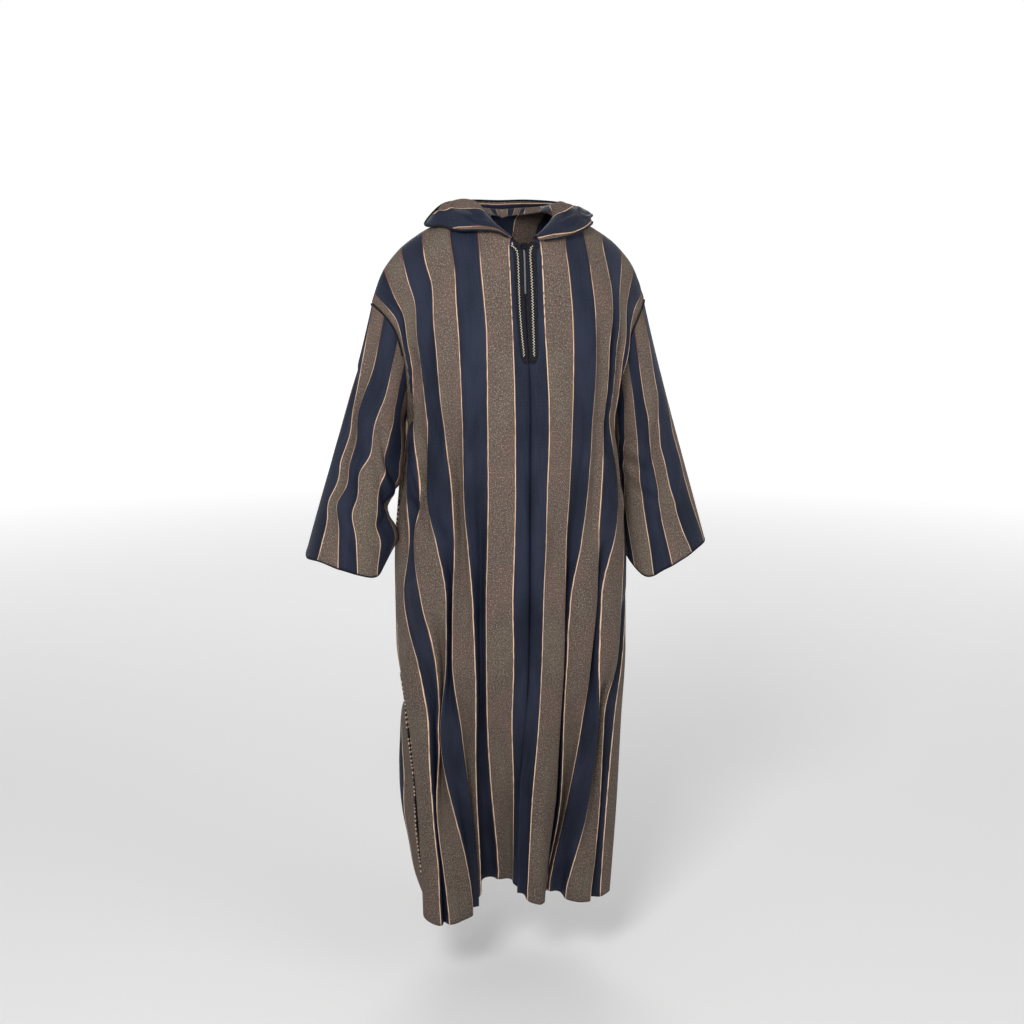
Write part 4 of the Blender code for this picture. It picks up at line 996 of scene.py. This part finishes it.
# share down the armhole rows, 1 for the back panel or 0 for the front, and four points from the
# neck seam out to the face edge
HOOD = {
    -1: (
        (0.36, 0, (25, -110, 1438), (25, -109, 1440), (27, -111, 1442), (29, -114, 1440)),
        (0.3, 0, (44, -90, 1455), (46, -92, 1459), (50, -96, 1458), (54, -100, 1453)),
        (0.2, 0, (57, -56, 1476), (66, -63, 1480), (79, -78, 1468), (86, -88, 1455)),
        (0.1, 0, (65, -25, 1496), (82, -33, 1501), (105, -52, 1482), (118, -70, 1455)),
        (0, 0, (66, 5, 1503), (92, 3, 1508), (122, -12, 1491), (139, -32, 1462)),
        (0.04, 1, (67, 24, 1503), (103, 26, 1505), (134, 12, 1492), (162, -4, 1462)),
        (0.065, 1, (66, 44, 1502), (100, 68, 1496), (132, 60, 1483), (154, 28, 1473)),
    ),
    1: (
        (0.36, 0, (14, -108, 1438), (14, -110, 1442), (18, -114, 1442), (21, -118, 1436)),
        (0.3, 0, (36, -90, 1454), (42, -94, 1459), (49, -103, 1453), (54, -111, 1440)),
        (0.2, 0, (65, -56, 1479), (75, -62, 1483), (85, -80, 1468), (91, -94, 1447)),
        (0.1, 0, (73, -26, 1495), (88, -30, 1500), (111, -52, 1482), (120, -72, 1457)),
        (0, 0, (80, 4, 1501), (102, 4, 1502), (133, -14, 1487), (145, -34, 1467)),
        (0.04, 1, (83, 22, 1500), (112, 28, 1498), (158, 14, 1483), (145, -8, 1472)),
        (0.065, 1, (87, 42, 1498), (125, 66, 1490), (160, 56, 1481), (159, 24, 1481)),
    ),
}
HOOD_BACK = (
    (0.09, 1, (63, 60, 1492), (106, 116, 1446), (134, 84, 1474), (118, 60, 1499)),
    (0.15, 1, (40, 88, 1482), (64, 146, 1338), (78, 160, 1414), (60, 98, 1505)),
    (0.20, 1, (0, 99, 1474), (0, 166, 1266), (0, 182, 1376), (0, 112, 1504)),
)


def on_panel(side, back, share, cloth, lift=0.0):
    """Points on a panel above the underarm: share down it, cloth from the row's start, lift off it."""
    share, cloth = np.broadcast_arrays(np.asarray(share, float), np.asarray(cloth, float))
    row = share * UNDERARM
    ends = row_cloth(back)
    first, last = (np.interp(row, range(len(ends)), ends[:, i]) for i in (0, 1))
    place = np.minimum(cloth / (last - first), 1) * (len(COLUMNS) - 1)
    i = np.minimum(row.astype(int), UNDERARM - 1)
    j = np.minimum(place.astype(int), len(COLUMNS) - 2)
    f, g = (row - i)[..., None], (place - j)[..., None]
    spot, way = (
        (1 - g) * (a[i, j] * (1 - f) + a[i + 1, j] * f)
        + g * (a[i, j + 1] * (1 - f) + a[i + 1, j + 1] * f)
        for a in surfaces[(side, back)]
    )
    return spot + way * np.asarray(lift, float)[..., None]


def smoothly(points, parts):
    """A soft line through points, with the given number of parts between each two."""
    points = np.asarray(points, float)
    slope = np.gradient(points, axis=0)
    flat = [a.reshape(-1, 3) for a in (points[:-1], points[1:], slope[:-1], slope[1:])]
    made = hermite(*flat, parts + 1)[:, :-1]
    made = np.moveaxis(made.reshape(points[:-1].shape[:-1] + (parts, 3)), -2, 1)
    return np.concatenate([made.reshape((-1,) + points.shape[1:]), points[-1:]])


sections = [(-1, *row) for row in HOOD[-1] + HOOD_BACK]
sections += [(1, *row) for row in (HOOD[1] + HOOD_BACK)[-2::-1]]
PARTS = 14
free = smoothly([np.array(row[3:], float) * (row[0], 1, 1) for row in sections], PARTS)
stations = np.array([row[1] * (-1 if row[2] else 1) for row in sections])
at = np.interp(np.arange(len(free)) / PARTS, range(len(sections)), stations)
half = len(free) // 2
seam = np.array(
    [on_panel(-1 if i <= half else 1, int(share < 0), abs(share), 0.0) for i, share in enumerate(at)]
)
hood = np.swapaxes(smoothly(np.swapaxes(np.concatenate([seam[:, None], free], 1), 0, 1), 10), 0, 1)
# behind the neck the cloth next to the seam is drawn in, so its bands run straighter there
from_rim = lengths(hood[:, ::-1])[:, ::-1]
near_seam = np.clip(from_rim - 0.6 * from_rim[:, :1], 0, None)
from_rim = from_rim - 0.75 * near_seam * part(-at, 0.07, 0.12)[:, None]
along = lengths(hood[:, -1])
inside_share = np.linspace(0, 1, hood.shape[1])
arch = np.sin(inside_share * np.pi)
crease = 1.6 * np.sin(along[:, None] / 21 + inside_share * 5) * arch
crease = crease + 1.1 * np.sin(along[:, None] / 9 - inside_share * 9) * arch**2
# crumples along the lobes: share from the seam to the face edge, sway, its pace, width, depth
HOOD_FOLDS = (
    (0.64, 0.03, 17, 0.045, -2.4),
    (0.72, 0.05, 19, 0.035, 4.4),
    (0.79, 0.04, 12, 0.035, -2.2),
    (0.86, 0.04, 14, 0.03, 3.2),
)
fold = 0
for place, sway, pace, wide, deep in HOOD_FOLDS:
    line = place + sway * np.sin(along / pace + 20 * place)
    fold = fold - deep * bell(inside_share, line[:, None], wide)
fold = fold * (0.65 + 0.35 * np.sin(along / 13 + 1))[:, None]
# creases and crumples fade out at the V, and the hood lies flat behind the neck
from_v = np.minimum(np.arange(len(hood)), np.arange(len(hood))[::-1]) / PARTS
kept = part(from_v * PARTS, 18, 48) * (1 - 0.92 * part(-at, 0.03, 0.08))
lobe = part(from_v, 1.2, 2.2) * part(from_v, 8, 7)
crease = crease * kept[:, None] + fold * lobe[:, None]
hood = hood + square_to(hood) * crease[..., None]
# how far the first taupe band starts beyond the rim, section by section
RIM_CUT = (76, 72, 68, 70, 88, 98, 92, 76, 70, 70, 70, 76, 88, 84, 72, 74, 72, 68, 70)
cut = np.interp(np.arange(len(hood)) / PARTS, range(len(RIM_CUT)), RIM_CUT)
uv = np.stack([from_rim + cut[:, None], np.broadcast_to(along[:, None] + 50, hood.shape[:2])], -1)
piece = cloth_shell("hood", [(hood, uv, 1)], ["hood"], thickness=1.6)

# ================================================================ braid and zip at the neck
# Two black woven braids along the neck opening, stitched down with a pale zigzag thread each, a
# short zip with fine grey teeth between them and a knot of black cord at the bottom of the V.
BRAID_THICK = 1.4
STITCH, SWING = 5.0, 1.55  # of the zigzag thread
# share down the armhole rows, and the cloth from the centre to the braid's inner and outer side;
# above the V the inner side follows the cut edge instead
BRAID = (
    (0.34, 2.0, 19.5),
    (0.40, 2.0, 18.5),
    (0.56, 1.6, 18),
    (0.60, 0.6, 17.5),
    (0.65, 0.6, 17),
    (0.70, 0.6, 16),
    (0.745, 0.6, 15),
    (0.772, 0.6, 13.6),
    (0.786, 0.6, 11.5),
    (0.795, 0.8, 8),
)
# share down, cloth from the edge to the middle of the zigzag on each side
ZIGZAG = {
    -1: (
        (0.378, 18.0), (0.385, 17.0), (0.405, 13.5), (0.43, 11.5), (0.60, 11.0), (0.70, 9.8),
        (0.775, 8.0),
    ),
    1: ((0.402, 8.5), (0.42, 8.8), (0.60, 10.6), (0.70, 9.6), (0.775, 8.0)),
}


def black_trim():
    """Matt black braid: fine slanting plaits over its width."""
    paint = Paint("black_trim", 0.62, "trim")
    slant = paint.u * 1.6
    plait = (slant + paint.v).wave(2.6) * 0.5 + (slant - paint.v).wave(2.6) * 0.5
    tone = (plait * 0.5 + 0.5).mix((0.002, 0.002, 0.003), (0.012, 0.012, 0.018))
    glint = paint.noise(1.4, 1.4, 1.0, 3.0).ramp(0.62, 0.74)
    paint.set("Base Color", (glint * 0.45).mix(tone, (0.10, 0.10, 0.12)))
    paint.set("Specular IOR Level", 0.15)
    paint.bump(plait, 0.0003)
    return paint.material


def plain(name, colour, roughness, metallic=0.0):
    """One even colour."""
    paint = Paint(name, roughness, "trim")
    paint.set("Base Color", (*colour, 1))
    paint.set("Metallic", metallic)
    return paint.material


def cord(name, lines, radius, material, stands=True, closed=False, sides=8):
    """Round cords along lines of points, as one piece, which stands for the node of its name."""
    points, faces, uvs, base = [], [], [], 0
    turn = np.arange(sides) * 2 * np.pi / sides
    for line in lines:
        line = np.asarray(line, float)
        ahead = np.roll(line, -1, 0) - np.roll(line, 1, 0) if closed else np.gradient(line, axis=0)
        ahead = unit(ahead)
        up = np.cross(ahead[0], (0.3, 0.5, 0.8))
        over = []
        for step in ahead:
            up = unit(up - step * (up * step).sum())
            over.append(up)
        over = np.array(over)
        beside = np.cross(ahead, over)
        ring = over[:, None] * np.cos(turn)[:, None] + beside[:, None] * np.sin(turn)[:, None]
        count = len(line)
        rows = count if closed else count - 1
        r, c = np.meshgrid(np.arange(rows), np.arange(sides), indexing="ij")
        a, b = r * sides + c, r * sides + (c + 1) % sides
        below = ((r + 1) % count - r) * sides
        faces += (np.stack([a, b, b + below, a + below], -1).reshape(-1, 4)[:, ::-1] + base).tolist()
        if not closed:
            cap = np.arange(sides) + base
            faces += [cap.tolist(), (cap[::-1] + rows * sides).tolist()]
        points.append((line[:, None] + ring * radius).reshape(-1, 3))
        run = lengths(line)
        uvs.append(np.stack(np.broadcast_arrays(turn * radius, run[:, None]), -1).reshape(-1, 2))
        base += count * sides
    points, uvs = np.concatenate(points), np.concatenate(uvs)
    return build(name, points, faces, uvs, material, [name] if stands else [], "trim")


def over_cut(share):
    """Height of the braid's under side; it rises at the top, over the turned edge of the cloth."""
    return 0.3 + CLOTH / 2 + 0.4 * part(share, 0.44, 0.40)


BLACK_TRIM = black_trim()
SILVER_THREAD = plain("zigzag_thread", (0.74, 0.68, 0.55), 0.5)
ZIP_METAL = plain("zip_metal", (0.30, 0.31, 0.35), 0.35, 0.6)
braid_share = np.concatenate([np.linspace(0.358, 0.42, 26), np.linspace(0.42, 0.795, 80)[1:]])
braid_cut = soft(braid_share, *NECK_OPEN)
near = np.maximum(column(braid_share, BRAID, 1) - braid_cut, 0.8)
far = np.maximum(column(braid_share, BRAID, 2) - braid_cut, near + 0.6)
for side, name in SIDES:
    # the left braid starts lower down, where the hood's seam ends
    first = 0 if side < 0 else int(np.searchsorted(braid_share, 0.378))
    across = (near + (far - near) * np.linspace(0, 1, 9))[first:]
    share = braid_share[first:, None]
    grid = on_panel(side, 0, share, across, over_cut(share) + BRAID_THICK / 2)
    way = square_to(grid) * -side
    swell = 0.25 * np.sin(np.linspace(0, 1, grid.shape[1]) * np.pi)[:, None]
    sides = np.stack([grid + way * (BRAID_THICK / 2 + swell), grid - way * BRAID_THICK / 2])
    uv = np.stack(np.broadcast_arrays(across, lengths(grid[:, 0])[:, None]), -1)
    faces = shell_faces(*grid.shape[:2])[:, ::-side].tolist()
    title = "braid_" + name
    build(title, sides, faces, np.concatenate([uv, uv]), BLACK_TRIM, [title], "trim")
    # the zigzag thread
    table = ZIGZAG[side]
    share = np.linspace(table[0][0], table[-1][0], 400)
    middle = column(share, table, 1)[:, 0]
    run = lengths(on_panel(side, 0, share, middle - soft(share, *NECK_OPEN)[:, 0]))
    step = np.arange(0, run[-1], 0.65)
    share, middle = np.interp(step, run, share), np.interp(step, run, middle)
    middle = middle - soft(share, *NECK_OPEN)[:, 0]
    swing = SWING * (2 / np.pi) * np.arcsin(np.sin(step * 2 * np.pi / STITCH))
    line = on_panel(side, 0, share, middle + swing, over_cut(share) + BRAID_THICK + 0.45)
    cord("zigzag_" + name, [line], 0.42, SILVER_THREAD, stands=False, sides=6)
    # the braid's plaited lower end, turned under in a small loop
    way_over = np.linspace(0, 1, 12)
    low = on_panel(side, 0, 0.79 + 0.006 * np.sin(way_over * np.pi), 3.0 + 6.5 * way_over, 2.6)
    cord("braid_end_" + name, [low], 1.3, BLACK_TRIM, stands=False)


def ridge(share, lift):
    """Points on the centre line, lifted off both fronts."""
    return (on_panel(-1, 0, share, 0.0, lift) + on_panel(1, 0, share, 0.0, lift)) / 2


# the zip: two rows of teeth that mesh, each second tooth a little to the other side
line = ridge(np.linspace(0.425, 0.58, 260), CLOTH / 2 + 1.2)
run = lengths(line)
tooth = np.array([(-1.25, 0, 0), (1.25, 0, 0)])
teeth = [
    along_line(place, run, line) + tooth + (0.55 if k % 2 else -0.55, 0, 0)
    for k, place in enumerate(np.arange(0.4, run[-1], 1.15))
]
cord("zip", teeth, 0.52, ZIP_METAL, sides=6)
# the knot at the V and the small one at the zip's lower end: trefoils
turn = np.linspace(0, 2 * np.pi, 72, endpoint=False)
bend = (np.sin(turn) + 2 * np.sin(2 * turn), -1.3 * np.sin(3 * turn))
bend = np.stack(bend + (np.cos(turn) - 2 * np.cos(2 * turn),), -1)
for name, share, lift, size, radius in (
    ("neck_knot", 0.405, 2.8, (1.9, 1.0, 1.9), 1.9),
    ("zip_knot", 0.592, 2.0, (0.85, 0.8, 1.1), 0.95),
):
    spot = ridge(np.array([share]), CLOTH / 2 + lift)[0]
    cord(name, [spot + bend * size], radius, BLACK_TRIM, name == "neck_knot", closed=True)

# ================================================================ piping
# Thin black cord sewn along the armholes, the cuffs and the hood's face edge; at the side vents and
# the hand slits it is wound with cream thread.


def wound_cord():
    """Black cord with cream stitches at even steps."""
    paint = Paint("wound_cord", 0.6, "trim")
    ply = (paint.v + paint.u * 0.8).wave(2.4)
    mark = (paint.v + paint.noise(40.0, 30.0) * 16.0).wave(8.5).ramp(0.1, 0.5)
    mark = mark * paint.noise(50.0, 22.0, 1.0, 4.0).ramp(0.34, 0.46)
    paint.set("Base Color", mark.mix((0.006, 0.006, 0.008), (0.62, 0.45, 0.32)))
    paint.bump(ply + mark, 0.00025)
    return paint.material


def beyond(edge, before, reach):
    """A line just outside an edge of cloth, in line with the cloth before it."""
    return edge + unit(edge - before) * reach


WOUND_CORD = wound_cord()
PIPING = 1.5
HOOD_PIPING = 1.9
for side, name in SIDES:
    # round the shoulder end of the armhole, from the back (here below 0) to the front
    shares = np.concatenate([-np.linspace(0.40, 0.02, 30), np.linspace(0, 0.56, 44)])
    line = [on_panel(side, int(share < 0), abs(share), 1e3, CLOTH / 2 + PIPING) for share in shares]
    cord("armhole_piping_" + name, [eased(np.array(line), 0, 6)], PIPING, BLACK_TRIM)
    line = beyond(sleeves[side][-1], sleeves[side][-3], PIPING)
    cord("cuff_piping_" + name, [line], PIPING, BLACK_TRIM, closed=True)
    low = ROW_HEIGHTS < VENT_HEIGHT
    for which, grid in (("front", fronts[side]), ("back", backs[side])):
        line = beyond(grid[low, -1], grid[low, -3], PIPING)
        cord("vent_piping_" + which + "_" + name, [line], PIPING, WOUND_CORD)
    slit = (ROW_HEIGHTS > SLIT[0] + 1) & (ROW_HEIGHTS < SLIT[1] - 1)
    loop = np.concatenate([fronts[side][slit, -1], backs[side][slit, -1][::-1]])
    loop[:, 0] += side * (CLOTH / 2 + 0.6)
    cord("pocket_piping_" + name, [loop], 1.4, WOUND_CORD, closed=True)
line = beyond(hood[:, -1], hood[:, -3], HOOD_PIPING)[4:-4]
cord("hood_piping", [line], HOOD_PIPING, BLACK_TRIM)
